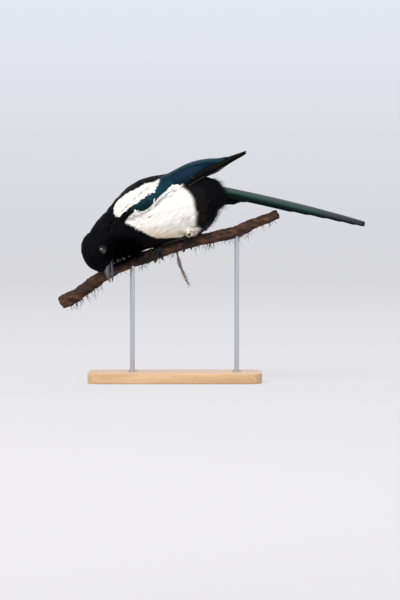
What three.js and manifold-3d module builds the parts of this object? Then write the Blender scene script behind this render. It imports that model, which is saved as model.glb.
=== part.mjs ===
// A Eurasian magpie, life size, stooping on a cut length of branch, on a display stand.
// Millimetres, +Z up. The bird faces -X with its left side toward -Y.
// The origin is the centre of the stand base's underside.

import * as THREE from 'three';
import { mergeVertices } from 'three/addons/utils/BufferGeometryUtils.js';
import Module from 'manifold-3d';

const wasm = await Module();
wasm.setup();

const GAP = 0.3;

// Stand
const BASE_LENGTH = 236;
const BASE_WIDTH = 128;
const BASE_THICKNESS = 14;
const BASE_CORNER = 22;
const BASE_BEVEL = 2;
const ROD_RADIUS = 3.2;
const ROD_SUNK = 9;
const ROD_IN_BRANCH = 4;
const ROD_FRONT_X = -58;
const ROD_REAR_X = 84;

// Branch: centre line as x, y, z, then its radius at the same places
const BRANCH_LINE = [
  [-156, 24, 107],
  [-134, 21, 117.5],
  [-119, 18, 129],
  [-95, 13, 145.5],
  [-64, 6, 161],
  [-31, 1, 173],
  [22, 0, 190],
  [62, -1, 199],
  [84, -2, 204.5],
  [100, -3, 212.5],
  [140, -6, 228],
];
const BRANCH_RADII = [8.9, 8.8, 8.5, 7.8, 7.6, 8.1, 7.1, 7.7, 7.9, 7.3, 6.2];
const BRANCH_STEPS = 24;
const BRANCH_SIDES = 10;
const BARK_SWELL = 0.45;

// Trunk stations from the covert tips forward: back x, z; belly x, z; half width
const TRUNK_STATIONS = [
  [95, 259, 98, 243.5, 13],
  [75, 265, 78, 240.5, 19],
  [61, 272.5, 60, 238, 22],
  [43, 278.5, 55, 226, 27],
  [26, 283, 47, 211, 33],
  [4, 284, 29, 199, 38],
  [-20, 281, 5.5, 192.5, 40.5],
  [-42, 277, -16, 187, 40.5],
  [-62, 266, -36, 182, 38],
  [-78, 251, -53, 176.5, 34],
  [-90, 235, -66, 173, 28.5],
  [-93, 224, -76, 180, 19],
];
const TRUNK_STEPS = 15;
const FLESH_SIDES = 16;

// Head: a fluffed egg about its own forward, crown and left directions
const HEAD_CENTRE = new THREE.Vector3(-105.5, -20, 180.5);
const HEAD_FORWARD = new THREE.Vector3(0.03, -0.42, -0.907).normalize();
const HEAD_ROLL = THREE.MathUtils.degToRad(40);
const HEAD_FRONT = 31;
const HEAD_BACK = 25;
const HEAD_UP = 22;
const HEAD_DOWN = 25;
const HEAD_HALF_WIDTH = 19.5;
const HEAD_STEPS = 9;
const HEAD_END = 0.985;
const HEAD_BLUNTNESS = 2.25;
const FACE_DROP = 3.2;
const FACE_NARROWING = 0.06;
// The face looks nearer to square on than the fluffed crown does
const FACE_ROLL = THREE.MathUtils.degToRad(15);

// Neck stations from the shoulders to the head: centre x, y, z; half height; half width
const NECK_STATIONS = [
  [-62, 0, 216, 37, 34],
  [-74, -4, 205, 32, 30],
  [-82.5, -8, 193.8, 31.5, 27],
  [-91, -11, 186.4, 29.5, 23.5],
  [-101.5, -16.5, 179.5, 24.5, 19],
];
const NECK_STEPS = 7;

// Eyes, in face directions: forward, crown, left
const EYE_PLACE = [7, -3.3, 13.5];
const EYE_RADIUS = 6;
const ORBIT_PLACE = [7, -3.3, 25.2];
const ORBIT_RADIUS = 8.8;

// Bill, in face directions, with its own droop below the face's line, a little open
const BILL_ROOT = [11.7, -15.5];
const BILL_DROOP = THREE.MathUtils.degToRad(5);
const BILL_LENGTH = 36;
const BILL_GAPE = THREE.MathUtils.degToRad(2.9);
const LOWER_SHORTER = 1;
const BILL_TAPER = 2.1;
const BILL_FULLNESS = 0.75;
const BILL_SLOPE = 0.12;
const BILL_EDGE = 0.45;
const BILL_NARROWING = 0.72;
const BILL_TIP_HALF = 0.5;
const UPPER_DEPTH = 8.6;
const LOWER_DEPTH = 5.4;
const BILL_WIDTH = 10.6;
const BILL_HOOK = 1.2;
const BILL_STEPS = 10;

// Left wing stations from wrist to tip: upper edge x, y, z; lower edge x, y, z; thickness
const WING_STATIONS = [
  [-74, -33, 229, -72, -34, 220, 3],
  [-60, -35, 242, -56, -38.5, 226, 5],
  [-42, -32.5, 258, -34, -41, 236, 5.5],
  [-23, -25, 274, -16, -39.5, 253, 5.5],
  [-3, -14, 285, -1, -36, 262, 5.5],
  [20, -9, 296.5, 16, -32, 266, 5],
  [42, -6.5, 302, 37, -25, 278, 4.2],
  [61, -5, 303.6, 56, -16, 286, 3.2],
  [79, -3.5, 308.7, 75, -9.5, 299.5, 2.2],
  [97.5, -2.5, 315, 97, -4.5, 312.5, 1.2],
];
const WING_STEPS = 11;
const WING_BULGE = 0.13;
const RIGHT_TIP_DROP = 2.5;

// Tail: feather pairs stacked downward, each shorter and a little wider than the one above
const TAIL_ROOT = new THREE.Vector3(42, 0, 267.5);
const TAIL_TIP = new THREE.Vector3(258, 0, 215.4);
const TAIL_ROLL = THREE.MathUtils.degToRad(14);
const TAIL_PAIR_LENGTHS = [1, 0.95, 0.86, 0.76, 0.66, 0.56];
const TAIL_TOP_WIDTH = 25;
const TAIL_WIDTH_GROWTH = 1.2;
const TAIL_ARCH = 1.7;
const TAIL_VANE = 1.1;
const TAIL_STACK = 0.85;
const TAIL_TIP_ROUND = 16;
const TAIL_STEPS = 7;
const TAIL_SAG = 3;

// Legs: ankle x, y, z and where each foot's toes part, as a branch x and an angle from its top
const LEFT_ANKLE = new THREE.Vector3(22, -25, 200);
const RIGHT_ANKLE = new THREE.Vector3(42, 22, 211);
const LEFT_KNEE = new THREE.Vector3(4, -27, 218);
const RIGHT_KNEE = new THREE.Vector3(21, 30, 220);
const SHANK_RADIUS = 2.1;
const THIGH_RADIUS = 11;
const ANKLE_RADIUS = 4.6;
const TOE_RADIUS = 2;
const TOE_PAD_RADIUS = 2.9;
const CLAW_LENGTH = 9;
const CLAW_TIP_RADIUS = 0.35;
const FOOT_LIFT = 3.4;
const LEFT_FOOT = { x: -16, angle: 32 };
const RIGHT_FOOT = { x: 21, angle: 8 };
// Toes: reach along the branch in mm, turn about it in degrees
const LEFT_TOES = [[-13, 118], [-4, 122], [-21, 84], [9, -74]];
const RIGHT_TOES = [[-11, 138], [-1, 130], [8, 112], [4, -86]];

const COLOURS = {
  black: 0x0d0e12,
  white: 0xf1eee6,
  blue: 0x18324f,
  green: 0x2f4a45,
  horn: 0x2a2b2e,
  eye: 0x120c09,
  bark: 0x5a3d2c,
  ash: 0xc9b79a,
  steel: 0xb9bcc0,
};

// Solids

function toSolid(geometry) {
  const bare = geometry.clone();
  bare.deleteAttribute('normal');
  bare.deleteAttribute('uv');
  const welded = mergeVertices(bare, 1e-4);
  const mesh = new wasm.Mesh({
    numProp: 3,
    vertProperties: new Float32Array(welded.attributes.position.array),
    triVerts: new Uint32Array(welded.index.array),
  });
  return new wasm.Manifold(mesh);
}

function toGeometry(solid) {
  const mesh = solid.getMesh();
  const geometry = new THREE.BufferGeometry();
  geometry.setAttribute('position', new THREE.BufferAttribute(mesh.vertProperties, 3));
  geometry.setIndex(new THREE.BufferAttribute(mesh.triVerts, 1));
  geometry.computeVertexNormals();
  return geometry;
}

function signedVolume(points, triangles) {
  let volume = 0;
  for (let i = 0; i < triangles.length; i += 3) {
    const [a, b, c] = [points[triangles[i]], points[triangles[i + 1]], points[triangles[i + 2]]];
    volume += a.dot(new THREE.Vector3().crossVectors(b, c)) / 6;
  }
  return volume;
}

// Joins equal rings of points into one closed skin, with a fan on each end
function loft(rings) {
  const sides = rings[0].length;
  const points = rings.flat();
  const triangles = [];
  for (let i = 0; i + 1 < rings.length; i += 1) {
    for (let j = 0; j < sides; j += 1) {
      const a = i * sides + j;
      const b = i * sides + (j + 1) % sides;
      triangles.push(a, b, a + sides, b, b + sides, a + sides);
    }
  }
  for (const [ring, first, turn] of [[rings[0], 0, false], [rings.at(-1), points.length - sides, true]]) {
    const middle = new THREE.Vector3();
    ring.forEach((point) => middle.addScaledVector(point, 1 / sides));
    const hub = points.push(middle) - 1;
    for (let j = 0; j < sides; j += 1) {
      const a = first + j;
      const b = first + (j + 1) % sides;
      triangles.push(...(turn ? [hub, a, b] : [hub, b, a]));
    }
  }
  if (signedVolume(points, triangles) < 0) {
    triangles.reverse();
  }
  const geometry = new THREE.BufferGeometry();
  geometry.setAttribute('position', new THREE.Float32BufferAttribute(points.flatMap((p) => p.toArray()), 3));
  geometry.setIndex(triangles);
  return toSolid(geometry);
}

function curveThrough(points) {
  return new THREE.CatmullRomCurve3(points, false, 'centripetal');
}

// Reads rows of numbers along their length: a smooth value of every column at a share of the way
function rowReader(rows) {
  const columns = rows[0].map((_, c) => curveThrough(rows.map((row, r) => new THREE.Vector3(r, row[c], 0))));
  return (share) => columns.map((column) => column.getPoint(share).y);
}

function ellipseRing(centre, up, side, sides, squareness = 1) {
  return Array.from({ length: sides }, (_, j) => {
    const angle = (j / sides) * 2 * Math.PI;
    const cos = Math.sign(Math.cos(angle)) * Math.abs(Math.cos(angle)) ** squareness;
    const sin = Math.sign(Math.sin(angle)) * Math.abs(Math.sin(angle)) ** squareness;
    return centre.clone().addScaledVector(up, cos).addScaledVector(side, sin);
  });
}

function grown(vector, by) {
  return vector.clone().setLength(vector.length() + by);
}

// A round tapering rod along a curve, with a radius for each share of the way
function taperedRod(curve, radiusAt, steps, sides) {
  const rings = [];
  let side = new THREE.Vector3(0, 0, 1);
  for (let i = 0; i <= steps; i += 1) {
    const share = i / steps;
    const tangent = curve.getTangent(share);
    const up = new THREE.Vector3().crossVectors(tangent, side).normalize();
    side = new THREE.Vector3().crossVectors(up, tangent).normalize();
    const radius = radiusAt(share);
    const centre = curve.getPoint(share);
    rings.push(ellipseRing(centre, up.clone().multiplyScalar(radius), side.clone().multiplyScalar(radius), sides));
  }
  return loft(rings);
}

function halfSpace(point, normal) {
  const reach = 400;
  const box = new THREE.BoxGeometry(reach, reach, reach);
  box.translate(0, 0, reach / 2);
  box.applyQuaternion(new THREE.Quaternion().setFromUnitVectors(new THREE.Vector3(0, 0, 1), normal));
  box.translate(point.x, point.y, point.z);
  return toSolid(box);
}

function mirrored(solid) {
  return solid.mirror([0, 1, 0]);
}

// Branch

const branchCurve = curveThrough(BRANCH_LINE.map((p) => new THREE.Vector3(...p)));
const branchRadius = rowReader(BRANCH_RADII.map((r) => [r]));

function branchFrame(share) {
  const tangent = branchCurve.getTangent(share);
  const near = new THREE.Vector3(0, -1, 0).addScaledVector(tangent, tangent.y).normalize();
  const top = new THREE.Vector3().crossVectors(near, tangent).normalize();
  return { near, top: top.z < 0 ? top.negate() : top };
}

// The bark's uneven radius: low swellings that turn as they run along
function barkRadius(share, angle) {
  const along = share * 31;
  const swell = Math.sin(along + 2 * angle) + 0.7 * Math.sin(2.3 * along - 3 * angle);
  return branchRadius(share)[0] + BARK_SWELL * swell;
}

// A point above the bark, at an angle in radians from the top toward the near side
function overBark(share, angle, lift) {
  const { near, top } = branchFrame(share);
  const radius = barkRadius(share, angle) + lift;
  return branchCurve.getPoint(share)
    .addScaledVector(top, Math.cos(angle) * radius)
    .addScaledVector(near, Math.sin(angle) * radius);
}

function branchShareAt(x) {
  let low = 0;
  let high = 1;
  for (let i = 0; i < 24; i += 1) {
    const middle = (low + high) / 2;
    if (branchCurve.getPoint(middle).x < x) {
      low = middle;
    } else {
      high = middle;
    }
  }
  return low;
}

function branchSolid(lift) {
  const rings = [];
  for (let i = 0; i <= BRANCH_STEPS; i += 1) {
    rings.push(Array.from({ length: BRANCH_SIDES }, (_, j) => (
      overBark(i / BRANCH_STEPS, (j / BRANCH_SIDES) * 2 * Math.PI, lift)
    )));
  }
  return loft(rings);
}

const branchGrown = branchSolid(GAP);

// Stand

function rodSolid(x, radius, bottom, top) {
  const y = branchCurve.getPoint(branchShareAt(x)).y;
  const rod = new THREE.CylinderGeometry(radius, radius, top - bottom, 12);
  rod.rotateX(Math.PI / 2);
  rod.translate(x, y, (top + bottom) / 2);
  return toSolid(rod);
}

function rodPair(x) {
  const bottom = BASE_THICKNESS - ROD_SUNK;
  const middle = branchCurve.getPoint(branchShareAt(x)).z;
  const top = middle - branchRadius(branchShareAt(x))[0] + ROD_IN_BRANCH;
  return {
    rod: rodSolid(x, ROD_RADIUS, bottom, top),
    hole: rodSolid(x, ROD_RADIUS + GAP, bottom - GAP, top + GAP),
  };
}

function baseSolid() {
  const [x, y, r] = [BASE_LENGTH / 2 - BASE_BEVEL, BASE_WIDTH / 2 - BASE_BEVEL, BASE_CORNER];
  const outline = new THREE.Shape();
  outline.moveTo(-x + r, -y);
  outline.lineTo(x - r, -y);
  outline.absarc(x - r, -y + r, r, -Math.PI / 2, 0, false);
  outline.lineTo(x, y - r);
  outline.absarc(x - r, y - r, r, 0, Math.PI / 2, false);
  outline.lineTo(-x + r, y);
  outline.absarc(-x + r, y - r, r, Math.PI / 2, Math.PI, false);
  outline.lineTo(-x, -y + r);
  outline.absarc(-x + r, -y + r, r, Math.PI, 1.5 * Math.PI, false);
  const plate = new THREE.ExtrudeGeometry(outline, {
    depth: BASE_THICKNESS - 2 * BASE_BEVEL,
    bevelThickness: BASE_BEVEL,
    bevelSize: BASE_BEVEL,
    bevelSegments: 1,
    curveSegments: 4,
  });
  plate.translate(0, 0, BASE_BEVEL);
  return toSolid(plate);
}

const frontRod = rodPair(ROD_FRONT_X);
const rearRod = rodPair(ROD_REAR_X);
const base = baseSolid().subtract(frontRod.hole).subtract(rearRod.hole);
const branch = branchSolid(0).subtract(frontRod.hole).subtract(rearRod.hole);

// Head directions

function headFrame(roll) {
  const forward = HEAD_FORWARD;
  const ahead = new THREE.Vector3(-1, 0, 0);
  const crown = ahead.addScaledVector(forward, -ahead.dot(forward)).normalize();
  crown.applyAxisAngle(forward, -roll);
  const left = new THREE.Vector3().crossVectors(crown, forward).normalize();
  return { forward, crown, left };
}

const head = headFrame(HEAD_ROLL);
const face = headFrame(FACE_ROLL);

function inHead(forward, crown, left, frame = head) {
  return HEAD_CENTRE.clone()
    .addScaledVector(frame.forward, forward)
    .addScaledVector(frame.crown, crown)
    .addScaledVector(frame.left, left);
}

function headSolid() {
  const rings = [];
  for (let i = 0; i <= HEAD_STEPS; i += 1) {
    const share = HEAD_END * (2 * i / HEAD_STEPS - 1);
    const reach = share < 0 ? HEAD_BACK : HEAD_FRONT;
    const fullness = (1 - Math.abs(share) ** HEAD_BLUNTNESS) ** 0.5;
    const lift = share > 0 ? -FACE_DROP * share ** 2 : 0;
    const up = head.crown.clone().multiplyScalar((HEAD_UP + HEAD_DOWN) / 2 * fullness);
    const side = head.left.clone().multiplyScalar(HEAD_HALF_WIDTH * fullness * (1 - FACE_NARROWING * Math.max(share, 0)));
    const middle = inHead(share * reach, (HEAD_UP - HEAD_DOWN) / 2 + lift, 0);
    rings.push(ellipseRing(middle, up, side, FLESH_SIDES));
  }
  return loft(rings);
}

function neckSolid() {
  const stations = rowReader(NECK_STATIONS);
  const backUp = new THREE.Vector3(-0.5, 0, 0.866);
  const backForward = new THREE.Vector3(-0.866, 0, -0.5);
  const start = new THREE.Matrix4().makeBasis(
    backForward, backUp, new THREE.Vector3().crossVectors(backForward, backUp));
  const end = new THREE.Matrix4().makeBasis(
    head.forward, head.crown, new THREE.Vector3().crossVectors(head.forward, head.crown));
  const from = new THREE.Quaternion().setFromRotationMatrix(start);
  const to = new THREE.Quaternion().setFromRotationMatrix(end);
  const rings = [];
  for (let i = 0; i <= NECK_STEPS; i += 1) {
    const share = i / NECK_STEPS;
    const [x, y, z, height, width] = stations(share);
    const turn = from.clone().slerp(to, share);
    const up = new THREE.Vector3(0, height, 0).applyQuaternion(turn);
    const side = new THREE.Vector3(0, 0, width).applyQuaternion(turn);
    rings.push(ellipseRing(new THREE.Vector3(x, y, z), up, side, FLESH_SIDES));
  }
  return loft(rings);
}

function trunkSolid() {
  const stations = rowReader(TRUNK_STATIONS);
  const rings = [];
  for (let i = 0; i <= TRUNK_STEPS; i += 1) {
    const [backX, backZ, bellyX, bellyZ, width] = stations(i / TRUNK_STEPS);
    const back = new THREE.Vector3(backX, 0, backZ);
    const belly = new THREE.Vector3(bellyX, 0, bellyZ);
    const middle = back.clone().add(belly).multiplyScalar(0.5);
    const up = back.clone().sub(middle);
    rings.push(ellipseRing(middle, up, new THREE.Vector3(0, width, 0), FLESH_SIDES, 0.94));
  }
  return loft(rings);
}

// Bill: an arched upper mandible with a hooked tip over a shallower lower one

function billRing(origin, axisUp, axisLeft, top, bottom, halfWidth) {
  const ring = [];
  const arc = 10;
  for (let j = 0; j <= arc; j += 1) {
    const angle = Math.PI * (j / arc);
    const ridge = Math.sin(angle) ** 0.9;
    ring.push(origin.clone()
      .addScaledVector(axisLeft, Math.cos(angle) * halfWidth)
      .addScaledVector(axisUp, bottom + (top - bottom) * ridge));
  }
  return ring;
}

function billSolid(isUpper, swell) {
  const open = isUpper ? BILL_GAPE : -BILL_GAPE;
  const droop = BILL_DROOP - open;
  const axis = face.forward.clone().multiplyScalar(Math.cos(droop)).addScaledVector(face.crown, -Math.sin(droop));
  const up = face.crown.clone().multiplyScalar(Math.cos(droop)).addScaledVector(face.forward, Math.sin(droop));
  const root = inHead(...BILL_ROOT, 0, face);
  const depth = isUpper ? UPPER_DEPTH : -LOWER_DEPTH;
  const length = isUpper ? BILL_LENGTH : BILL_LENGTH - LOWER_SHORTER;
  const meeting = isUpper ? GAP / 2 : -GAP / 2;
  const rings = [];
  for (let i = 0; i <= BILL_STEPS; i += 1) {
    const share = i / BILL_STEPS;
    const fullness = (1 - share ** BILL_TAPER) ** BILL_FULLNESS;
    const height = depth * fullness * (1 - BILL_SLOPE * share) + Math.sign(depth) * (BILL_EDGE + 2 * swell);
    const halfWidth = (BILL_WIDTH / 2) * (1 - share) ** BILL_NARROWING + BILL_TIP_HALF + swell;
    const dip = isUpper ? -BILL_HOOK * share ** 5 : BILL_HOOK * 0.3 * share ** 3;
    const reach = share * length + swell * (2 * share - 1);
    const origin = root.clone().addScaledVector(axis, reach);
    const low = meeting + dip - Math.sign(depth) * swell;
    rings.push(billRing(origin, up, face.left, low + height, low, halfWidth));
  }
  return loft(rings);
}

// Wings: thin curved slabs from the wrist to the tips that meet over the rump

function wingSolid(swell, tipDrop) {
  const stations = rowReader(WING_STATIONS);
  const rings = [];
  const across = 5;
  for (let i = 0; i <= WING_STEPS; i += 1) {
    const share = i / WING_STEPS;
    const row = stations(share);
    const ahead = stations(Math.min(share + 0.02, 1));
    const behind = stations(Math.max(share - 0.02, 0));
    const upper = new THREE.Vector3(row[0], row[1], row[2]);
    const lower = new THREE.Vector3(row[3], row[4], row[5]);
    const axis = new THREE.Vector3(ahead[0] - behind[0], ahead[1] - behind[1], ahead[2] - behind[2]).normalize();
    const down = lower.clone().sub(upper);
    const out = new THREE.Vector3().crossVectors(axis, down).normalize();
    if (out.y > 0) {
      out.negate();
    }
    const drop = tipDrop * share ** 3;
    const chord = down.length();
    const ring = [];
    for (const face of [1, -1]) {
      for (let j = 0; j <= across; j += 1) {
        const part = face > 0 ? j / across : 1 - j / across;
        const bow = 4 * part * (1 - part) * chord * WING_BULGE;
        const edge = (part - 0.5) * 2;
        const half = (row[6] / 2) * (1 - 0.75 * edge ** 4) + swell;
        const point = upper.clone()
          .addScaledVector(down, part + (edge * swell) / chord)
          .addScaledVector(out, bow + face * half);
        point.z -= drop;
        ring.push(point);
      }
    }
    const push = swell * (2 * share - 1);
    rings.push(ring.map((point) => point.addScaledVector(axis, push)));
  }
  return loft(rings);
}

// Tail: a roof-shaped stack of graduated feather pairs, turned a little toward the left

function tailSolid(swell) {
  const axis = TAIL_TIP.clone().sub(TAIL_ROOT);
  const fullLength = axis.length();
  axis.normalize();
  const side = new THREE.Vector3(0, 1, 0).applyAxisAngle(axis, -TAIL_ROLL);
  const up = new THREE.Vector3().crossVectors(side, axis);
  if (up.z < 0) {
    up.negate();
  }
  const across = 3;
  const pairs = TAIL_PAIR_LENGTHS.map((part, pair) => {
    const length = fullLength * part;
    const width = TAIL_TOP_WIDTH + pair * TAIL_WIDTH_GROWTH;
    const rings = [];
    for (let i = 0; i <= TAIL_STEPS; i += 1) {
      const share = i / TAIL_STEPS;
      const reach = length * share + swell * (2 * share - 1);
      const toTip = Math.max(length - length * share, 0);
      const rounding = toTip < TAIL_TIP_ROUND ? (1 - (1 - toTip / TAIL_TIP_ROUND) ** 2.6) ** 0.5 : 1;
      const half = (width / 2) * (0.82 + 0.18 * Math.min(share * 2.2, 1)) * Math.max(rounding, 0.32) + swell;
      const sag = 4 * TAIL_SAG * (reach / fullLength) * (1 - reach / fullLength);
      const centre = TAIL_ROOT.clone()
        .addScaledVector(axis, reach)
        .addScaledVector(up, sag - pair * TAIL_STACK);
      const thick = TAIL_VANE / 2 + swell;
      const ring = [];
      for (const face of [1, -1]) {
        for (let j = 0; j <= across; j += 1) {
          const edge = (face > 0 ? j / across : 1 - j / across) * 2 - 1;
          const arch = -TAIL_ARCH * (edge * half / (TAIL_TOP_WIDTH / 2)) ** 2;
          ring.push(centre.clone()
            .addScaledVector(side, edge * half)
            .addScaledVector(up, arch + face * thick));
        }
      }
      rings.push(ring);
    }
    return loft(rings);
  });
  return pairs.reduce((whole, pair) => whole.add(pair));
}

// Feet: toes wrapped about the branch, each ending in a curved claw

function toeSolid(foot, reachAlong, turn, swell) {
  const startAngle = THREE.MathUtils.degToRad(foot.angle);
  const turnAngle = THREE.MathUtils.degToRad(turn);
  const bends = 6;
  const points = [];
  for (let i = 0; i <= bends; i += 1) {
    const part = i / bends;
    const share = branchShareAt(foot.x + reachAlong * part);
    const lift = TOE_RADIUS + GAP + (FOOT_LIFT - TOE_RADIUS) * (1 - part) ** 2;
    points.push(overBark(share, startAngle + turnAngle * part, lift));
  }
  const clawTurn = Math.sign(turn) * CLAW_LENGTH / 11;
  const clawAlong = reachAlong * 0.22;
  for (const [part, lift] of [[0.35, 2.9], [0.7, 2.6], [1, 0.9]]) {
    const share = branchShareAt(foot.x + reachAlong + clawAlong * part);
    points.push(overBark(share, startAngle + turnAngle + clawTurn * part, lift));
  }
  const curve = curveThrough(points);
  const clawStart = bends / (bends + 3);
  const radiusAt = (share) => {
    const joint = 0.16 * Math.cos(share * Math.PI * 9);
    const toe = TOE_RADIUS * (1.05 - 0.25 * share) + joint;
    const late = Math.max((share - clawStart) / (1 - clawStart), 0);
    return THREE.MathUtils.lerp(toe, CLAW_TIP_RADIUS, late ** 0.75) + swell;
  };
  return taperedRod(curve, radiusAt, 10, 5);
}

function footSolid(foot, toes, swell) {
  const heel = overBark(branchShareAt(foot.x), THREE.MathUtils.degToRad(foot.angle), FOOT_LIFT);
  const pad = new THREE.SphereGeometry(TOE_PAD_RADIUS + swell, 8, 6);
  pad.translate(heel.x, heel.y, heel.z);
  return toes.reduce((sum, [along, turn]) => sum.add(toeSolid(foot, along, turn, swell)), toSolid(pad));
}

function shankSolid(foot, ankle, swell) {
  const heel = overBark(branchShareAt(foot.x), THREE.MathUtils.degToRad(foot.angle), FOOT_LIFT + 0.8);
  const line = ankle.clone().sub(heel);
  const clear = TOE_PAD_RADIUS + GAP;
  const start = heel.clone().addScaledVector(line, (clear - swell) / line.length());
  const end = ankle.clone().addScaledVector(line, swell / line.length());
  const curve = new THREE.LineCurve3(start, end);
  return taperedRod(curve, (share) => SHANK_RADIUS * (1 + 0.35 * (2 * share - 1) ** 4) + swell, 5, 8);
}

function thighSolid(knee, ankle, swell) {
  const curve = new THREE.LineCurve3(knee, ankle);
  const radiusAt = (share) => THREE.MathUtils.lerp(THIGH_RADIUS, ANKLE_RADIUS, share ** 0.8) + swell;
  return taperedRod(curve, radiusAt, 4, 12);
}

const footLeft = footSolid(LEFT_FOOT, LEFT_TOES, 0).subtract(branchGrown);
const footRight = footSolid(RIGHT_FOOT, RIGHT_TOES, 0).subtract(branchGrown);
const feetGrown = [footSolid(LEFT_FOOT, LEFT_TOES, GAP), footSolid(RIGHT_FOOT, RIGHT_TOES, GAP)];
const shankLeft = shankSolid(LEFT_FOOT, LEFT_ANKLE, 0).subtract(branchGrown).subtract(feetGrown[0]);
const shankRight = shankSolid(RIGHT_FOOT, RIGHT_ANKLE, 0).subtract(branchGrown).subtract(feetGrown[1]);

const wingLeft = wingSolid(0, 0);
const wingRight = mirrored(wingSolid(0, RIGHT_TIP_DROP));
const tail = tailSolid(0);
const beakUpper = billSolid(true, 0);
const beakLower = billSolid(false, 0);

function ball(place, radius) {
  const sphere = new THREE.SphereGeometry(radius, 12, 8);
  sphere.translate(place.x, place.y, place.z);
  return toSolid(sphere);
}

const eyePlaces = [1, -1].map((way) => inHead(EYE_PLACE[0], EYE_PLACE[1], way * EYE_PLACE[2], face));
const orbitPlaces = [1, -1].map((way) => inHead(ORBIT_PLACE[0], ORBIT_PLACE[1], way * ORBIT_PLACE[2], face));

// Flesh and coat in one, with room for all that is set in it, then parted by thin cuts

const setIn = [
  branchGrown,
  ...feetGrown,
  shankSolid(LEFT_FOOT, LEFT_ANKLE, GAP),
  shankSolid(RIGHT_FOOT, RIGHT_ANKLE, GAP),
  wingSolid(GAP, 0),
  mirrored(wingSolid(GAP, RIGHT_TIP_DROP)),
  tailSolid(GAP),
  billSolid(true, GAP),
  billSolid(false, GAP),
  ...orbitPlaces.map((place) => ball(place, ORBIT_RADIUS)),
  ...eyePlaces.map((place) => ball(place, EYE_RADIUS + GAP)),
];

function carved(solid) {
  return setIn.reduce((left, tool) => left.subtract(tool), solid);
}

const NECK_CUT = { point: new THREE.Vector3(-72, 0, 210), normal: new THREE.Vector3(-0.93, -0.12, -0.35).normalize() };
const HEAD_CUT = { point: new THREE.Vector3(-94, -14, 190), normal: new THREE.Vector3(-0.66, -0.3, -0.69).normalize() };

function pastCut(cut, shift) {
  return halfSpace(cut.point.clone().addScaledVector(cut.normal, shift), cut.normal);
}

const whole = trunkSolid().add(neckSolid()).add(headSolid());
const thighLeft = thighSolid(LEFT_KNEE, LEFT_ANKLE, 0);
const thighRight = thighSolid(RIGHT_KNEE, RIGHT_ANKLE, 0);
const bodyRest = whole
  .subtract(thighSolid(LEFT_KNEE, LEFT_ANKLE, GAP))
  .subtract(thighSolid(RIGHT_KNEE, RIGHT_ANKLE, GAP));
const trunk = carved(bodyRest.subtract(pastCut(NECK_CUT, 0)));
const neck = carved(bodyRest.intersect(pastCut(NECK_CUT, GAP)).subtract(pastCut(HEAD_CUT, 0)));
const headPart = carved(bodyRest.intersect(pastCut(NECK_CUT, GAP)).intersect(pastCut(HEAD_CUT, GAP)));

// The largest closed piece, so that no crumb of a cut is left beside it
function mainPiece(solid) {
  return solid.decompose().reduce((best, piece) => (piece.volume() > best.volume() ? piece : best));
}

const object = new THREE.Group();

function addNode(group, name, solid, colour, roughness, metalness = 0) {
  const material = new THREE.MeshStandardMaterial({ color: colour, roughness, metalness });
  const mesh = new THREE.Mesh(toGeometry(mainPiece(solid)), material);
  mesh.name = name;
  group.add(mesh);
}

const bird = new THREE.Group();
addNode(bird, 'trunk', trunk, COLOURS.white, 0.8);
addNode(bird, 'neck', neck, COLOURS.black, 0.7);
addNode(bird, 'head', headPart, COLOURS.black, 0.7);
addNode(bird, 'beak_upper', beakUpper, COLOURS.horn, 0.35);
addNode(bird, 'beak_lower', beakLower, COLOURS.horn, 0.35);
addNode(bird, 'eye_left', ball(eyePlaces[0], EYE_RADIUS), COLOURS.eye, 0.05);
addNode(bird, 'eye_right', ball(eyePlaces[1], EYE_RADIUS), COLOURS.eye, 0.05);
addNode(bird, 'wing_left', wingLeft, COLOURS.blue, 0.4);
addNode(bird, 'wing_right', wingRight, COLOURS.blue, 0.4);
addNode(bird, 'tail', tail, COLOURS.green, 0.4);
addNode(bird, 'thigh_left', carved(thighLeft), COLOURS.black, 0.8);
addNode(bird, 'thigh_right', carved(thighRight), COLOURS.black, 0.8);
addNode(bird, 'shank_left', shankLeft, COLOURS.horn, 0.5);
addNode(bird, 'shank_right', shankRight, COLOURS.horn, 0.5);
addNode(bird, 'foot_left', footLeft, COLOURS.horn, 0.5);
addNode(bird, 'foot_right', footRight, COLOURS.horn, 0.5);

const perch = new THREE.Group();
addNode(perch, 'perch_branch', branch, COLOURS.bark, 0.9);

const stand = new THREE.Group();
addNode(stand, 'stand_base', base, COLOURS.ash, 0.6);
addNode(stand, 'stand_rod_front', frontRod.rod, COLOURS.steel, 0.3, 1);
addNode(stand, 'stand_rod_rear', rearRod.rod, COLOURS.steel, 0.3, 1);

object.add(bird, perch, stand);

export default object;
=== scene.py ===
import math

import bpy
import numpy as np
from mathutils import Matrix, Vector, noise
from mathutils.bvhtree import BVHTree


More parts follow.
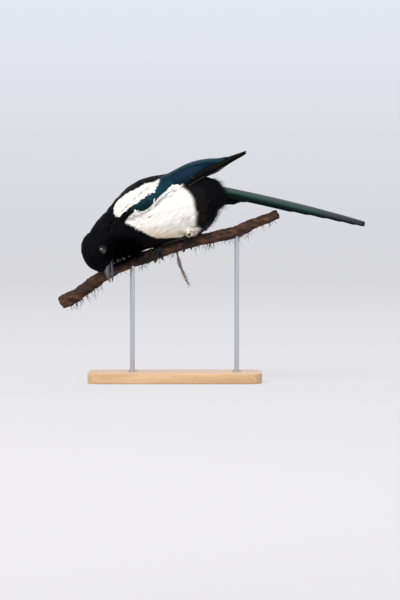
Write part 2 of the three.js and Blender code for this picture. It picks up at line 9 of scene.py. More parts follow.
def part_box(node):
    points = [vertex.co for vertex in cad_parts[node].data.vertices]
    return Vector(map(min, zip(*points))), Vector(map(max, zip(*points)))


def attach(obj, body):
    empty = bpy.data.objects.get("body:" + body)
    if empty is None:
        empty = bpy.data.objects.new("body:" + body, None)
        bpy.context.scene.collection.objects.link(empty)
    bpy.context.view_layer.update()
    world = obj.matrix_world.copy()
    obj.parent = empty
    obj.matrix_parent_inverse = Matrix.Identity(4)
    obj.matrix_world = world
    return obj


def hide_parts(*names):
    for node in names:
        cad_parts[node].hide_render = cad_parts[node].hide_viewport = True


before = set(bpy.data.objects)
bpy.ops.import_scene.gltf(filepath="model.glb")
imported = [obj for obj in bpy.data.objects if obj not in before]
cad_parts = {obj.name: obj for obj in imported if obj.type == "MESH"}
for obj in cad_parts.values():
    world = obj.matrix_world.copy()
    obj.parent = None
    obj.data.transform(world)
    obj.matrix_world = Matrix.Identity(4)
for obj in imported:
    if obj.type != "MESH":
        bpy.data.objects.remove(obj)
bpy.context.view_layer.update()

bl_info = {
    "name": "Magpie Model",
    "version": (1, 0, 0),
    "blender": (4, 5, 0),
    "location": "View3D > Sidebar > Magpie",
    "description": "Builds the looks of a life-size magpie on its perch and stand",
    "category": "Object",
}

# Every size below is in millimetres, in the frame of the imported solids, and MM turns it to metres.
MM = 0.001
SEED = 20

FLESH_NODES = ("trunk", "neck", "head", "thigh_left", "thigh_right")

# The head's own directions: forward out of the face, and left from eye to eye.
HEAD_FORWARD = np.array([0.03, -0.42, -0.907])
BILL_DROOP_DEGREES = 5
BILL_ROOT_PLACE = np.array([-90.2, -21.1, 168.6])

# The way of the coat, from the face to the tail: place, direction of the feathers, reach of each.
COAT_WAY = [
    ((-92, -27, 160), (-0.10, 0.42, 0.90), 16),
    ((-106, -20, 180), (-0.03, 0.42, 0.90), 18),
    ((-96, -12, 193), (0.35, 0.30, 0.85), 16),
    ((-78, -3, 207), (0.68, 0.10, 0.66), 20),
    ((-45, 0, 228), (0.84, 0.00, 0.50), 26),
    ((-5, 0, 240), (0.90, 0.00, 0.40), 30),
    ((30, 0, 245), (0.95, 0.00, 0.22), 26),
    ((62, 0, 252), (0.98, 0.00, 0.00), 22),
    ((98, 0, 250), (0.97, 0.00, -0.22), 18),
]

# Beside the wings the scapulars and the upper flank feathers turn to run with the wing.
WING_WAY = [
    ((-60, 34, 236), (0.76, 0, 0.65), 12),
    ((-35, 36, 254), (0.74, 0, 0.67), 13),
    ((-8, 30, 270), (0.8, 0, 0.6), 12),
]

# Feather length and spacing by the distance run along that way.
COAT_DISTANCE = [0, 12, 28, 50, 75, 120, 165, 200, 240]
FEATHER_LENGTH = [4.6, 6.5, 9, 12, 15, 20, 23, 23, 25]
FEATHER_SPACING = [1.15, 1.4, 1.8, 2.4, 2.9, 3.5, 3.9, 3.9, 3.9]
WING_ROOT_SPACING = 0.95

# How deep a contour feather's root is sunk, and how far its edges curl down for each mm of half width.
ROOT_SUNK = 0.4
VANE_CUP = 0.16

# A feather's patch on the unwrap that its colour is baked to.
BAKE_PATCH = 0.003

# White markings seen from the side, as x, z outlines: the scapulars and the flank with the belly.
SCAPULAR_OUTLINE = [
    (-75, 224), (-82, 229), (-83, 237), (-80, 244), (-74, 250), (-64, 257.5), (-50, 264),
    (-41, 269.5), (-29, 272), (-19, 275), (-23, 269), (-31, 260), (-44, 250), (-60, 238), (-70, 230),
]
FLANK_OUTLINE = [
    (-67.5, 218), (-56, 212), (-39, 202.5), (-26, 196), (-12, 196), (4, 197), (15, 194), (28, 200),
    (35, 208.5), (28, 213.8), (28.6, 220.7), (29.6, 229.3), (27.2, 237.2), (26.2, 243.4), (24.5, 251),
    (19, 258.8), (11.4, 265), (4.5, 267.9), (-2.7, 266.6), (-10.2, 261.4), (-17.1, 256.2),
    (-21.8, 251.1), (-27.6, 244.1), (-34.5, 238), (-43.1, 232.8), (-52.6, 231.9), (-57.9, 229.3),
    (-63.1, 224.9),
]

# Left wing from wrist to tip: upper edge x, y, z; lower edge x, y, z.
WING_STATIONS = np.array([
    [-74, -33, 229, -72, -34, 220],
    [-60, -35, 242, -56, -38.5, 226],
    [-42, -32.5, 258, -34, -41, 236],
    [-23, -25, 274, -16, -39.5, 253],
    [-3, -14, 285, -1, -36, 262],
    [20, -9, 296.5, 16, -32, 266],
    [42, -6.5, 302, 37, -25, 278],
    [61, -5, 303.6, 56, -16, 286],
    [79, -3.5, 308.7, 75, -9.5, 299.5],
    [97.5, -2.5, 315, 97, -4.5, 312.5],
])
WING_BOW = 0.13
WING_HALF_THICKNESS = [1.5, 2.5, 2.75, 2.75, 2.75, 2.5, 2.1, 1.6, 1.1, 0.6]
RIGHT_TIP_DROP = 2.5
WRIST_X = -74
WING_RUN = 172
WING_LENGTH = 190
WING_VANE_THICKNESS = 0.25

# Where each primary's tip lies, as a share of the wing's run, in the order in which they are drawn.
PRIMARY_TIPS = (0.80, 0.85, 0.89, 0.93, 0.965, 0.99, 1.0, 0.985, 0.93)

# Rows of wing feathers, deepest first. Shares run from wrist to tip and from upper to lower edge.
# name, count, root share, tip shares first and last, root edge shares, tip edge shares, half width,
# height over the wing's middle, colour first and last
WING_ROWS = [
    ("primary", 9, 0.36, (0.80, 0.95), (0.62, 0.92), (0.42, 0.74), 8.0, 0.2, ("0c0a09", "060607")),
    ("secondary", 8, 0.26, (0.60, 0.76), (0.84, 0.22), (0.74, 0.26), 8.5, 1.2, ("081b27", "15304c")),
    ("tertial", 3, 0.28, (0.66, 0.84), (0.20, 0.06), (0.24, 0.14), 8.0, 1.9, ("0f2c3e", "103845")),
    ("greater", 10, 0.12, (0.46, 0.42), (0.86, 0.10), (0.84, 0.16), 6.0, 2.1, ("0b2f37", "0f3044")),
    ("median", 9, 0.06, (0.24, 0.22), (0.86, 0.10), (0.86, 0.12), 4.6, 2.5, ("0a2329", "0b2b31")),
    ("lesser", 8, 0.0, (0.12, 0.11), (0.84, 0.12), (0.86, 0.12), 3.6, 2.7, ("08090b", "0a1216")),
]

# Tail feathers: pairs stacked downward, each shorter and a little wider than the one above.
TAIL_ROOT = np.array([42, 0, 267.5])
TAIL_TIP = np.array([258, 0, 215.4])
TAIL_ROLL_DEGREES = 17
TAIL_PAIR_LENGTHS = [1, 0.95, 0.86, 0.76, 0.66, 0.56]
TAIL_HALF_WIDTH = 11.6
TAIL_ARCH = 1.7
TAIL_ARCH_WIDTH = 12.5
TAIL_STACK = 0.85
TAIL_SPREAD = 0.8
TAIL_SAG = 3
TAIL_TIP_ROUND = 6
TAIL_VANE_THICKNESS = 0.3
# How bright each pair's colour is, from the top pair down: each lower pair is painted darker, as painted
# shade under the pairs above it.
TAIL_PAIR_TONE_AND_SHADE = (0.38, 0.3, 0.12, 0.08, 0.06, 0.06)

# Where the rump starts and its coverts end over and under the tail, which falls by TAIL_SLOPE for
# each mm of X.
TAIL_SLOPE = 0.241
RUMP_START = 52
COVERT_END = 78
UNDERTAIL_END = 99

# Where the white low on the belly starts to be painted darker and warmer, as painted shade of the underside,
# and over what height.
UNDERSIDE_SHADE_TOP = 214
UNDERSIDE_SHADE_HEIGHT = 16

# The edges of the pupil and the iris as angles from the eye's axis in radians, the opening of the lids,
# and the number of bristles over the bill.
PUPIL_EDGE = 0.5
IRIS_EDGE = 0.78
LID_HALF_LENGTH = 5.1
LID_HALF_HEIGHT = 4.45
BRISTLE_COUNT = 240

# Rootlets under the branch: from x, to x, how many, longest.
ROOTLET_BEDS = [
    (-142, -100, 34, 15), (-82, -58, 14, 9), (-50, 2, 40, 11), (24, 104, 58, 12), (116, 134, 14, 8),
]

# The hanging strip of fibre: its way down from the branch, and its strands.
FIBRE_WAY = [(3, -2, 176), (5, -2.5, 166), (8, -3, 156), (12, -3.5, 146), (18, -4, 134), (21, -4, 129)]
FIBRE_STRANDS = 22

# The board's rounded corners and edges.
BASE_CORNER = 22
BASE_BEVEL = 2

# Stage: millimetres in a photo pixel, the point aimed at, and the camera.
PIXEL = 1.36
PHOTO_AIM_X = 34
PHOTO_AIM_Z = 111.5
PHOTO_HEIGHT_PIXELS = 600
CAMERA_DISTANCE = 6000
CAMERA_RAISE_DEGREES = 1.8
SENSOR = 36

# The backdrop is a round dish: flat middle, curved rim and height, in metres.
DISH_FLAT = 7.0
DISH_CURVE = 3.2
DISH_HEIGHT = 9.0


class MagpieColours(bpy.types.PropertyGroup):
    """Colours that a user would change"""
    black: bpy.props.StringProperty(
        name="Black plumage", description="sRGB hex of the black feathers", default="050507")
    white: bpy.props.StringProperty(
        name="White plumage", description="sRGB hex of the white feathers", default="eeece7")
    # The darker, warmer colour the white takes low on the belly: painted shade of the underside.
    underside_shade: bpy.props.StringProperty(
        name="Belly cream", description="sRGB hex of the soft lower belly", default="e6d8bc")
    tail_green: bpy.props.StringProperty(
        name="Tail green", description="sRGB hex of the tail's outer webs", default="3b625a")
    tail_bronze: bpy.props.StringProperty(
        name="Tail bronze", description="sRGB hex near the tail's tip", default="343b44")
    horn: bpy.props.StringProperty(
        name="Bill horn", description="sRGB hex of the bill", default="28282c")
    bark: bpy.props.StringProperty(
        name="Bark", description="sRGB hex of lit bark", default="4a2f20")


class MagpieSizes(bpy.types.PropertyGroup):
    """Sizes that a user would change"""
    coat_depth: bpy.props.FloatProperty(
        name="Coat depth", description="How far the skin lies inside the outline",
        default=1.7 * MM, unit="LENGTH", subtype="DISTANCE")
    skin_grain: bpy.props.FloatProperty(
        name="Skin grain", description="Edge length of the joined skin's mesh",
        default=1.5 * MM, unit="LENGTH", subtype="DISTANCE")
    feather_scale: bpy.props.FloatProperty(
        name="Feather scale", description="Length of every contour feather against the plan", default=1.0)
    rootlet_scale: bpy.props.FloatProperty(
        name="Rootlet scale", description="Length of every rootlet against the plan", default=1.0)
    key_power: bpy.props.FloatProperty(
        name="Key light", description="Power of the large soft light", default=420.0, unit="POWER")


# Small tools

def colours():
    """The add-on's colours in this scene."""
    return bpy.context.scene.magpie_colours


def sizes():
    """The add-on's sizes in this scene."""
    return bpy.context.scene.magpie_sizes


def linear(code):
    """An sRGB hex code as the linear colour that shaders take."""
    parts = [int(code[i:i + 2], 16) / 255 for i in (0, 2, 4)]
    return tuple(c / 12.92 if c <= 0.04045 else ((c + 0.055) / 1.055) ** 2.4 for c in parts)


def tints(*codes):
    """Several hex codes as arrays of linear colour."""
    return [np.array(linear(code)) for code in codes]


def unit(vectors):
    """Vectors of length one."""
    vectors = np.asarray(vectors, float)
    return vectors / np.maximum(np.linalg.norm(vectors, axis=-1, keepdims=True), 1e-9)


def smooth_rows(rows, share):
    """A smooth curve through evenly spaced rows of numbers, read at shares of its length."""
    rows = np.asarray(rows, float)
    place = np.clip(np.asarray(share, float), 0, 1) * (len(rows) - 1)
    cell = np.minimum(place.astype(int), len(rows) - 2)
    t = (place - cell)[..., None]
    before = rows[np.maximum(cell - 1, 0)]
    here = rows[cell]
    after = rows[cell + 1]
    beyond = rows[np.minimum(cell + 2, len(rows) - 1)]
    return 0.5 * (2 * here + (after - before) * t + (2 * before - 5 * here + 4 * after - beyond) * t ** 2
                  + (3 * here - before - 3 * after + beyond) * t ** 3)


def inside(outline, x, z):
    """Which points lie inside a closed outline."""
    points = np.asarray(outline, float)
    hit = np.zeros(np.shape(x), bool)
    for (x0, z0), (x1, z1) in zip(points, np.roll(points, -1, axis=0)):
        if z0 == z1:
            continue
        crosses = (z0 > z) != (z1 > z)
        hit ^= crosses & (x < (x1 - x0) * (z - z0) / (z1 - z0) + x0)
    return hit


def edge_distance(outline, x, z):
    """Distance of points to a closed outline."""
    points = np.asarray(outline, float)
    spot = np.stack([x, z], -1)
    best = np.full(np.shape(x), 1e9)
    for a, b in zip(points, np.roll(points, -1, axis=0)):
        along = b - a
        t = np.clip(((spot - a) @ along) / (along @ along), 0, 1)
        best = np.minimum(best, np.linalg.norm(spot - a - t[..., None] * along, axis=-1))
    return best


def paint_points(mesh, colour):
    """Stores one colour for each point of a mesh."""
    layer = mesh.color_attributes.new("paint", "FLOAT_COLOR", "POINT")
    full = np.ones((len(colour), 4), np.float32)
    full[:, :3] = colour
    layer.data.foreach_set("color", full.ravel())


def move_points(piece, co):
    """Gives a piece new places for its points, in millimetres."""
    piece.data.vertices.foreach_set("co", (co * MM).ravel())
    piece.data.update()


def make_mesh(name, points, faces, material=None, slot=None, layers=None, paint=None):
    """A smooth mesh from points in millimetres, with its UV layers, painted colours and place."""
    mesh = bpy.data.meshes.new(name)
    mesh.from_pydata((np.asarray(points) * MM).tolist(), [], [list(face) for face in faces])
    mesh.update()
    loops = np.zeros(len(mesh.loops), int)
    mesh.loops.foreach_get("vertex_index", loops)
    for layer_name, values in (layers or {}).items():
        layer = mesh.uv_layers.new(name=layer_name)
        layer.data.foreach_set("uv", np.asarray(values, np.float32)[loops].ravel())
    if paint is not None:
        paint_points(mesh, paint)
    mesh.polygons.foreach_set("use_smooth", np.ones(len(mesh.polygons), bool))
    piece = bpy.data.objects.new(name, mesh)
    bpy.context.scene.collection.objects.link(piece)
    if material:
        mesh.materials.append(material)
    if slot:
        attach(piece, "root")
    return piece


def triangles_of(mesh):
    """The corners of a mesh's triangles."""
    mesh.calc_loop_triangles()
    corners = np.zeros(len(mesh.loop_triangles) * 3, int)
    mesh.loop_triangles.foreach_get("vertices", corners)
    return corners.reshape(-1, 3)


def node_arrays(names, swell=0.0):
    """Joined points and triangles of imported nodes, in millimetres, each pushed out along its normals."""
    points, faces, count = [], [], 0
    for name in names:
        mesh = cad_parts[name].data
        co = np.zeros(len(mesh.vertices) * 3)
        mesh.vertices.foreach_get("co", co)
        co = co.reshape(-1, 3) / MM
        tri = triangles_of(mesh)
        _, first, back = np.unique(co.round(3), axis=0, return_index=True, return_inverse=True)
        co = co[first]
        tri = back.reshape(-1)[tri]
        normal = np.cross(co[tri[:, 1]] - co[tri[:, 0]], co[tri[:, 2]] - co[tri[:, 0]])
        vertex_normal = np.zeros_like(co)
        for corner in range(3):
            np.add.at(vertex_normal, tri[:, corner], normal)
        points.append(co + unit(vertex_normal) * swell)
        faces.append(tri + count)
        count += len(co)
    return np.concatenate(points), np.concatenate(faces)


def node_tree(name):
    """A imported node's surface, to find the nearest place on."""
    points, faces = node_arrays([name])
    return BVHTree.FromPolygons(points.tolist(), faces.tolist())


def arrays_of(piece):
    """A piece's points in millimetres, and their normals."""
    mesh = piece.data
    co = np.zeros(len(mesh.vertices) * 3)
    normal = np.zeros(len(mesh.vertices) * 3)
    mesh.vertices.foreach_get("co", co)
    mesh.vertices.foreach_get("normal", normal)
    return co.reshape(-1, 3) / MM, normal.reshape(-1, 3)


def apply_modifiers(piece):
    """Makes a piece's modifiers part of its mesh."""
    graph = bpy.context.evaluated_depsgraph_get()
    piece.data = bpy.data.meshes.new_from_object(piece.evaluated_get(graph))
    piece.modifiers.clear()
    return piece.data


def remeshed(name, points, faces, grain, smooth, material, slot):
    """One even skin round joined closed shapes: voxel remesh, then smoothing."""
    piece = make_mesh(name, points, faces, None, slot)
    modifier = piece.modifiers.new("even", "REMESH")
    modifier.mode = "VOXEL"
    modifier.voxel_size = grain * MM
    relax = piece.modifiers.new("relax", "SMOOTH")
    relax.factor = 0.5
    relax.iterations = smooth
    made = apply_modifiers(piece)
    made.name = name
    made.polygons.foreach_set("use_smooth", np.ones(len(made.polygons), bool))
    made.materials.clear()
    made.materials.append(material)
    return piece


def tube_faces(rows, sides):
    """Faces of a closed tube: rings joined in order, with a cap on each end."""
    faces = []
    for i in range(rows - 1):
        for j in range(sides):
            a, b = i * sides + j, i * sides + (j + 1) % sides
            faces.append((a, b, b + sides, a + sides))
    faces.append(tuple(reversed(range(sides))))
    faces.append(tuple(range((rows - 1) * sides, rows * sides)))
    return faces


def strand(path, start_radius, end_radius, sides=5):
    """Points and faces of a thin tapering strand along a path."""
    path = np.asarray(path, float)
    count = len(path)
    tangent = unit(np.gradient(path, axis=0))
    side = unit(np.cross(tangent, [0.3, 0.8, 0.5]))
    up = np.cross(side, tangent)
    radius = np.linspace(start_radius, end_radius, count)[:, None, None]
    turn = np.arange(sides) / sides * 2 * math.pi
    ring = np.cos(turn)[None, :, None] * side[:, None] + np.sin(turn)[None, :, None] * up[:, None]
    points = (path[:, None] + ring * radius).reshape(-1, 3)
    return points, tube_faces(count, sides)


def joined(parts):
    """Many small shapes as one list of points and one list of faces."""
    points, faces, count = [], [], 0
    for part_points, part_faces in parts:
        points.append(part_points)
        faces.extend([tuple(i + count for i in face) for face in part_faces])
        count += len(part_points)
    return np.concatenate(points), faces


# Materials

def add_node(tree, kind, settings=None, links=None):
    """One shader node with its settings, and its inputs linked or set."""
    made = tree.nodes.new(kind)
    for key, value in (settings or {}).items():
        setattr(made, key, value)
    for key, value in (links or {}).items():
        socket = made.inputs[key]
        if isinstance(value, bpy.types.NodeSocket):
            tree.links.new(value, socket)
        else:
            socket.default_value = value
    return made


def surface(name, settings):
    """A new material with one principled surface; returns it, its tree and the surface's node."""
    material = bpy.data.materials.new(name)
    material.use_nodes = True
    tree = material.node_tree
    shader = tree.nodes["Principled BSDF"]
    for key, value in settings.items():
        shader.inputs[key].default_value = value
    return material, tree, shader


def grain(tree, scale, turn=(0, 0, 0), **more):
    """Noise in the piece's own space, from a scale in grains per metre along X, Y and Z."""
    place = add_node(tree, "ShaderNodeTexCoord")
    flow = add_node(tree, "ShaderNodeMapping",
                    links={0: place.outputs["Object"], "Rotation": turn, "Scale": scale})
    made = add_node(tree, "ShaderNodeTexNoise", links={"Vector": flow.outputs[0], "Scale": 1.0, **more})
    return made.outputs[0]


def mapped(tree, value, low, high, start=0.0, end=1.0):
    """Maps a value that runs from start to end onto low to high."""
    links = {0: value, 1: start, 2: end, 3: low, 4: high}
    return add_node(tree, "ShaderNodeMapRange", links=links).outputs[0]


def scaled(tree, colour, share):
    """A colour made darker or lighter by a share."""
    links = {0: colour, "Scale": share}
    return add_node(tree, "ShaderNodeVectorMath", {"operation": "SCALE"}, links).outputs[0]


def blended(tree, share, low, high):
    """Two colours mixed by a share."""
    links = {0: share, 6: low, 7: high}
    return add_node(tree, "ShaderNodeMix", {"data_type": "RGBA"}, links).outputs[2]


def raised(tree, shader, height, strength, depth):
    """Relief from a height, as deep as the given number of millimetres."""
    links = {"Strength": strength, "Distance": depth * MM, "Height": height}
    bump = add_node(tree, "ShaderNodeBump", links=links)
    tree.links.new(bump.outputs[0], shader.inputs["Normal"])


def point_paint(tree):
    """The colour painted on the piece's points."""
    return add_node(tree, "ShaderNodeVertexColor", {"layer_name": "paint"}).outputs[0]


def opaque(code):
    """A hex code as a colour with full alpha."""
    return (*linear(code), 1)


def mottled(tree, shader, colour, size):
    """Base colour broken up by noise whose grains are the given number of millimetres."""
    noise_value = grain(tree, (1 / (size * MM),) * 3, Detail=3.0)
    shade = mapped(tree, noise_value, 0.7, 1.3, 0.3, 0.7)
    tree.links.new(scaled(tree, colour, shade), shader.inputs["Base Color"])


def bristle_material():
    """Stiff keratin hair: blue-black, a little glossy, with lighter and darker runs of 1.2 mm."""
    material, tree, shader = surface("dark bristle", {"Roughness": 0.45, "Specular IOR Level": 0.2})
    mottled(tree, shader, linear("08080a"), 1.2)
    return material


def underlayer_material():
    """Bases of the vanes in shade: dull brown-black, mottled at 2 mm like packed down."""
    material, tree, shader = surface("wing underlayer", {"Roughness": 0.7, "Specular IOR Level": 0.1})
    mottled(tree, shader, linear("0d0d10"), 2.0)
    return material


def barb_bump(tree, shader, strength, period):
    """Fine ridges that slant from a feather's shaft, a period apart in millimetres of its own length."""
    place = add_node(tree, "ShaderNodeUVMap", {"uv_map": "Vane"})
    split = add_node(tree, "ShaderNodeSeparateXYZ", links={0: place.outputs[0]})
    across = add_node(tree, "ShaderNodeMath", {"operation": "ABSOLUTE"}, {0: split.outputs[0]})
    slant = add_node(tree, "ShaderNodeMath", {"operation": "MULTIPLY_ADD"},
                     {0: across.outputs[0], 1: -0.9, 2: split.outputs[1]})
    wave = add_node(tree, "ShaderNodeMath", {"operation": "MULTIPLY"},
                    {0: slant.outputs[0], 1: 2 * math.pi / period})
    ridge = add_node(tree, "ShaderNodeMath", {"operation": "SINE"}, {0: wave.outputs[0]}).outputs[0]
    raised(tree, shader, ridge, strength, 0.2)
    return ridge


def painted_feather(name, roughness, metallic, sheen, strength, period, shine):
    """Feather vane whose colour is painted on its points, with painted shade between its barbs."""
    material, tree, shader = surface(name, {
        "Roughness": roughness, "Metallic": metallic, "Specular IOR Level": shine, "IOR": 1.54,
        "Sheen Weight": sheen, "Sheen Roughness": 0.4,
    })
    # The base colour is darkened in the troughs of the barb relief: painted shade between the barbs.
    shade = mapped(tree, barb_bump(tree, shader, strength, period), 0.9, 1.0, -1.0, 1.0)
    tree.links.new(scaled(tree, point_paint(tree), shade), shader.inputs["Base Color"])
    return material


def black_contour_feather():
    """Melanin-black down and vane: nearly no colour, a faint gloss on the lit side."""
    return painted_feather("black contour feather", 0.6, 0.0, 0.0, 0.2, 0.7, 0.04)


def white_contour_feather():
    """Unpigmented soft vane: matt white, fine slanting barbs. Barbs are drawn at 0.7 mm to show."""
    return painted_feather("white contour feather", 0.85, 0.0, 0.1, 0.15, 0.7, 0.12)


def glossy_wing_feather():
    """Structural blue and green over black: tight barbs that shine like satin."""
    return painted_feather("iridescent flight feather", 0.42, 0.6, 0.0, 0.2, 0.8, 0.06)


def skin_material():
    """Feathered skin seen only between vanes: the coat's own colours, dull and downy."""
    settings = {"Roughness": 0.85, "IOR": 1.45, "Specular IOR Level": 0.1}
    material, tree, shader = surface("feathered skin", settings)
    raised(tree, shader, grain(tree, (900, 900, 900), Detail=3.0), 0.5, 0.4)
    tree.links.new(point_paint(tree), shader.inputs["Base Color"])
    return material


def horn_material(name, code, roughness):
    """Polished keratin: dark and smooth, with faint growth lines and a soft waxy shine."""
    material, tree, shader = surface(name, {"IOR": 1.55, "Coat Weight": 0.25, "Coat Roughness": 0.25})
    growth = grain(tree, (900, 900, 160), Detail=4.0)
    base = scaled(tree, linear(code), mapped(tree, growth, 0.55, 1.45))
    rough = mapped(tree, growth, roughness - 0.08, roughness + 0.12)
    tree.links.new(base, shader.inputs["Base Color"])
    tree.links.new(rough, shader.inputs["Roughness"])
    raised(tree, shader, growth, 0.25, 0.1)
    return material


def scaled_leg_material():
    """Scuted leg skin: black plates about 1.6 mm long with dull seams between."""
    settings = {"Roughness": 0.5, "IOR": 1.5, "Specular IOR Level": 0.3}
    material, tree, shader = surface("scuted leg skin", settings)
    place = add_node(tree, "ShaderNodeTexCoord")
    cells = add_node(tree, "ShaderNodeTexVoronoi", {"feature": "DISTANCE_TO_EDGE"},
                     {"Vector": place.outputs["Object"], "Scale": 620.0})
    seam = mapped(tree, cells.outputs[0], 0.0, 1.0, 0.0, 0.12)
    tone = blended(tree, seam, opaque("050505"), opaque("131213"))
    tree.links.new(tone, shader.inputs["Base Color"])
    raised(tree, shader, seam, 0.6, 0.25)
    return material


def eye_material():
    """Wet cornea over a dark brown iris: nearly black with a sharp glint."""
    material, tree, shader = surface("wet eye", {
        "Roughness": 0.05, "IOR": 1.376, "Specular IOR Level": 0.5,
        "Coat Weight": 1.0, "Coat Roughness": 0.02,
    })
    mottled(tree, shader, point_paint(tree), 0.5)
    return material


def bark_material():
    """Weathered twig bark: warm brown plates, near-black cracks along the grain that are darker bark with
    painted shade in the relief's hollows, dull brown patches.
    """
    material, tree, shader = surface("weathered bark", {"IOR": 1.45, "Roughness": 0.9})
    cracks = grain(tree, (70, 260, 260), (0, 0.42, 0), Detail=7.0, Roughness=0.7)
    patches = grain(tree, (38, 38, 38), Detail=3.0)
    # The near-black in the low parts of the crack relief is darker bark with painted shade in the hollows.
    tone = add_node(tree, "ShaderNodeValToRGB", links={0: cracks})
    ramp = tone.color_ramp
    ramp.elements[0].position = 0.36
    ramp.elements[0].color = opaque("0a0705")
    ramp.elements[1].position = 0.72
    ramp.elements[1].color = opaque("7a5036")
    ramp.elements.new(0.53).color = opaque(colours().bark)
    share = mapped(tree, patches, 0.0, 0.75, 0.42, 0.62)
    dull = blended(tree, share, tone.outputs[0], opaque("1f1613"))
    tree.links.new(dull, shader.inputs["Base Color"])
    raised(tree, shader, cracks, 0.9, 1.2)
    return material


def rootlet_material(name, code):
    """Dry root fibre: matt, with uneven tone along it."""
    material, tree, shader = surface(name, {"Roughness": 0.85, "IOR": 1.45})
    tone = mapped(tree, grain(tree, (350, 350, 350)), 0.5, 1.5)
    tree.links.new(scaled(tree, linear(code), tone), shader.inputs["Base Color"])
    return material


def beech_material():
    """Planed and oiled beech: straight fine grain along the board with short dark flecks."""
    material, tree, shader = surface("oiled beech", {"IOR": 1.5, "Coat Weight": 0.15, "Coat Roughness": 0.3})
    along = grain(tree, (9, 170, 60), Detail=6.0, Distortion=0.4)
    flecks = grain(tree, (190, 900, 900))
    tone = add_node(tree, "ShaderNodeValToRGB", links={0: along})
    tone.color_ramp.elements[0].position = 0.3
    tone.color_ramp.elements[0].color = opaque("b08a62")
    tone.color_ramp.elements[1].position = 0.7
    tone.color_ramp.elements[1].color = opaque("cfae86")
    base = scaled(tree, tone.outputs[0], mapped(tree, flecks, 1.0, 0.72, 0.62, 0.72))
    tree.links.new(base, shader.inputs["Base Color"])
    tree.links.new(mapped(tree, along, 0.38, 0.55), shader.inputs["Roughness"])
    return material


def steel_material():
    """Drawn stainless rod: bright metal with fine lines along its length."""
    settings = {"Metallic": 1.0, "Base Color": opaque("c3c5c8")}
    material, tree, shader = surface("drawn stainless steel", settings)
    lines = grain(tree, (2200, 2200, 14), Detail=2.0)
    tree.links.new(mapped(tree, lines, 0.24, 0.42), shader.inputs["Roughness"])
    return material


def backdrop_material():
    """Seamless painted card: matt, cool above and a little darker toward the floor."""
    settings = {"Roughness": 0.95, "Specular IOR Level": 0.1, "Emission Strength": 0.8}
    material, tree, shader = surface("painted card", settings)
    place = add_node(tree, "ShaderNodeTexCoord")
    split = add_node(tree, "ShaderNodeSeparateXYZ", links={0: place.outputs["Object"]})
    tone = mapped(tree, split.outputs[2], 0.0, 1.0, -0.05, 0.9)
    card = blended(tree, tone, opaque("dad9dc"), opaque("e9edf6"))
    tree.links.new(scaled(tree, card, 0.22), shader.inputs["Base Color"])
    tree.links.new(card, shader.inputs["Emission Color"])
    return material


# The bird's own directions and markings

def eye_centre(side):
    """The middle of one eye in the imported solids."""
    low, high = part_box(f"eye_{side}")
    return np.array((low + high) / 2) / MM


def eye_radius():
    """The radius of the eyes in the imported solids."""
    low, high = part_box("eye_left")
    return (high.z - low.z) / 2 / MM


def head_directions():
    """The head's forward, crown and left directions."""
    left = unit(eye_centre("left") - eye_centre("right"))
    forward = unit(HEAD_FORWARD - left * (HEAD_FORWARD @ left))
    return forward, np.cross(forward, left), left


def bill_directions():
    """The bill's axis, upper and left directions."""
    forward, crown, left = head_directions()
    droop = math.radians(BILL_DROOP_DEGREES)
    axis = forward * math.cos(droop) - crown * math.sin(droop)
    return axis, np.cross(axis, left), left


def coat_distance(points):
    """How far along the way of the coat each point lies, from the face."""
    places = np.array([place for place, _, _ in COAT_WAY], float)
    lengths = np.concatenate([[0], np.cumsum(np.linalg.norm(np.diff(places, axis=0), axis=1))])
    best = np.full(len(points), 1e9)
    run = np.zeros(len(points))
    for i in range(len(places) - 1):
        along = places[i + 1] - places[i]
        t = np.clip(((points - places[i]) @ along) / (along @ along), 0, 1)
        gap = np.linalg.norm(points - places[i] - t[:, None] * along, axis=1)
        closer = gap < best
        best = np.where(closer, gap, best)
        run = np.where(closer, lengths[i] + t * (lengths[i + 1] - lengths[i]), run)
    return run


def coat_direction(points, normals):
    """The lie of the feathers: the coat's way, laid into the skin."""
    way = np.zeros_like(points)
    beside = [((x, side * y, z), direction, reach)
              for (x, y, z), direction, reach in WING_WAY for side in (-1, 1)]
    for place, direction, reach in COAT_WAY + beside:
        gap = np.linalg.norm(points - np.array(place, float), axis=1)
        way += np.exp(-(gap / reach) ** 2 / 2)[:, None] * unit(direction) + 1e-9 * unit(direction)
    way = unit(way)
    return unit(way - normals * np.sum(way * normals, axis=1)[:, None])


def white_share(points, jitter=0.0, seed=0):
    """Which points are white scapulars, and which are white flank or belly."""
    rng = np.random.default_rng(seed)
    x = points[:, 0] + rng.normal(0, 1, len(points)) * jitter
    z = points[:, 2] + rng.normal(0, 1, len(points)) * jitter
    on_side = np.abs(points[:, 1]) > 6
    scapular = inside(SCAPULAR_OUTLINE, x, z) & on_side
    flank = inside(FLANK_OUTLINE, x, z)
    return scapular, flank


def coat_depth_at(points):
    """Depth of the coat: thin round the eyes and the bill, full elsewhere."""
    depth = np.full(len(points), sizes().coat_depth / MM)
    for side in ("left", "right"):
        gap = np.linalg.norm(points - eye_centre(side), axis=1)
        depth *= np.clip((gap - 6.5) / 7, 0.12, 1)
    depth *= np.clip((np.linalg.norm(points - BILL_ROOT_PLACE, axis=1) - 6) / 8, 0.25, 1)
    for centre in ((11, 211), (20, 202)):
        off = (points[:, [0, 2]] - centre) / 11
        thigh = np.exp(-off[:, 0] ** 2 - off[:, 1] ** 2)
        depth += 3.4 * thigh * (np.abs(points[:, 1]) > 20)
    return depth


def clear_bill(points):
    """Narrows the face to the width of the bill's base, so that the bill stands free of it."""
    axis, up, left = bill_directions()
    off = points - BILL_ROOT_PLACE
    ahead, above, aside = off @ axis, off @ up, off @ left
    width = 6.3 + 1.1 * np.clip(4.5 - ahead, 0, 20)
    band = np.clip((above + 9.5) / 2.5, 0, 1) * np.clip((9.5 - above) / 3, 0, 1)
    band = band * np.clip((ahead + 9) / 6, 0, 1)
    excess = np.clip(np.abs(aside) - width, 0, None) * band
    return points - left * (np.sign(aside) * excess)[:, None]


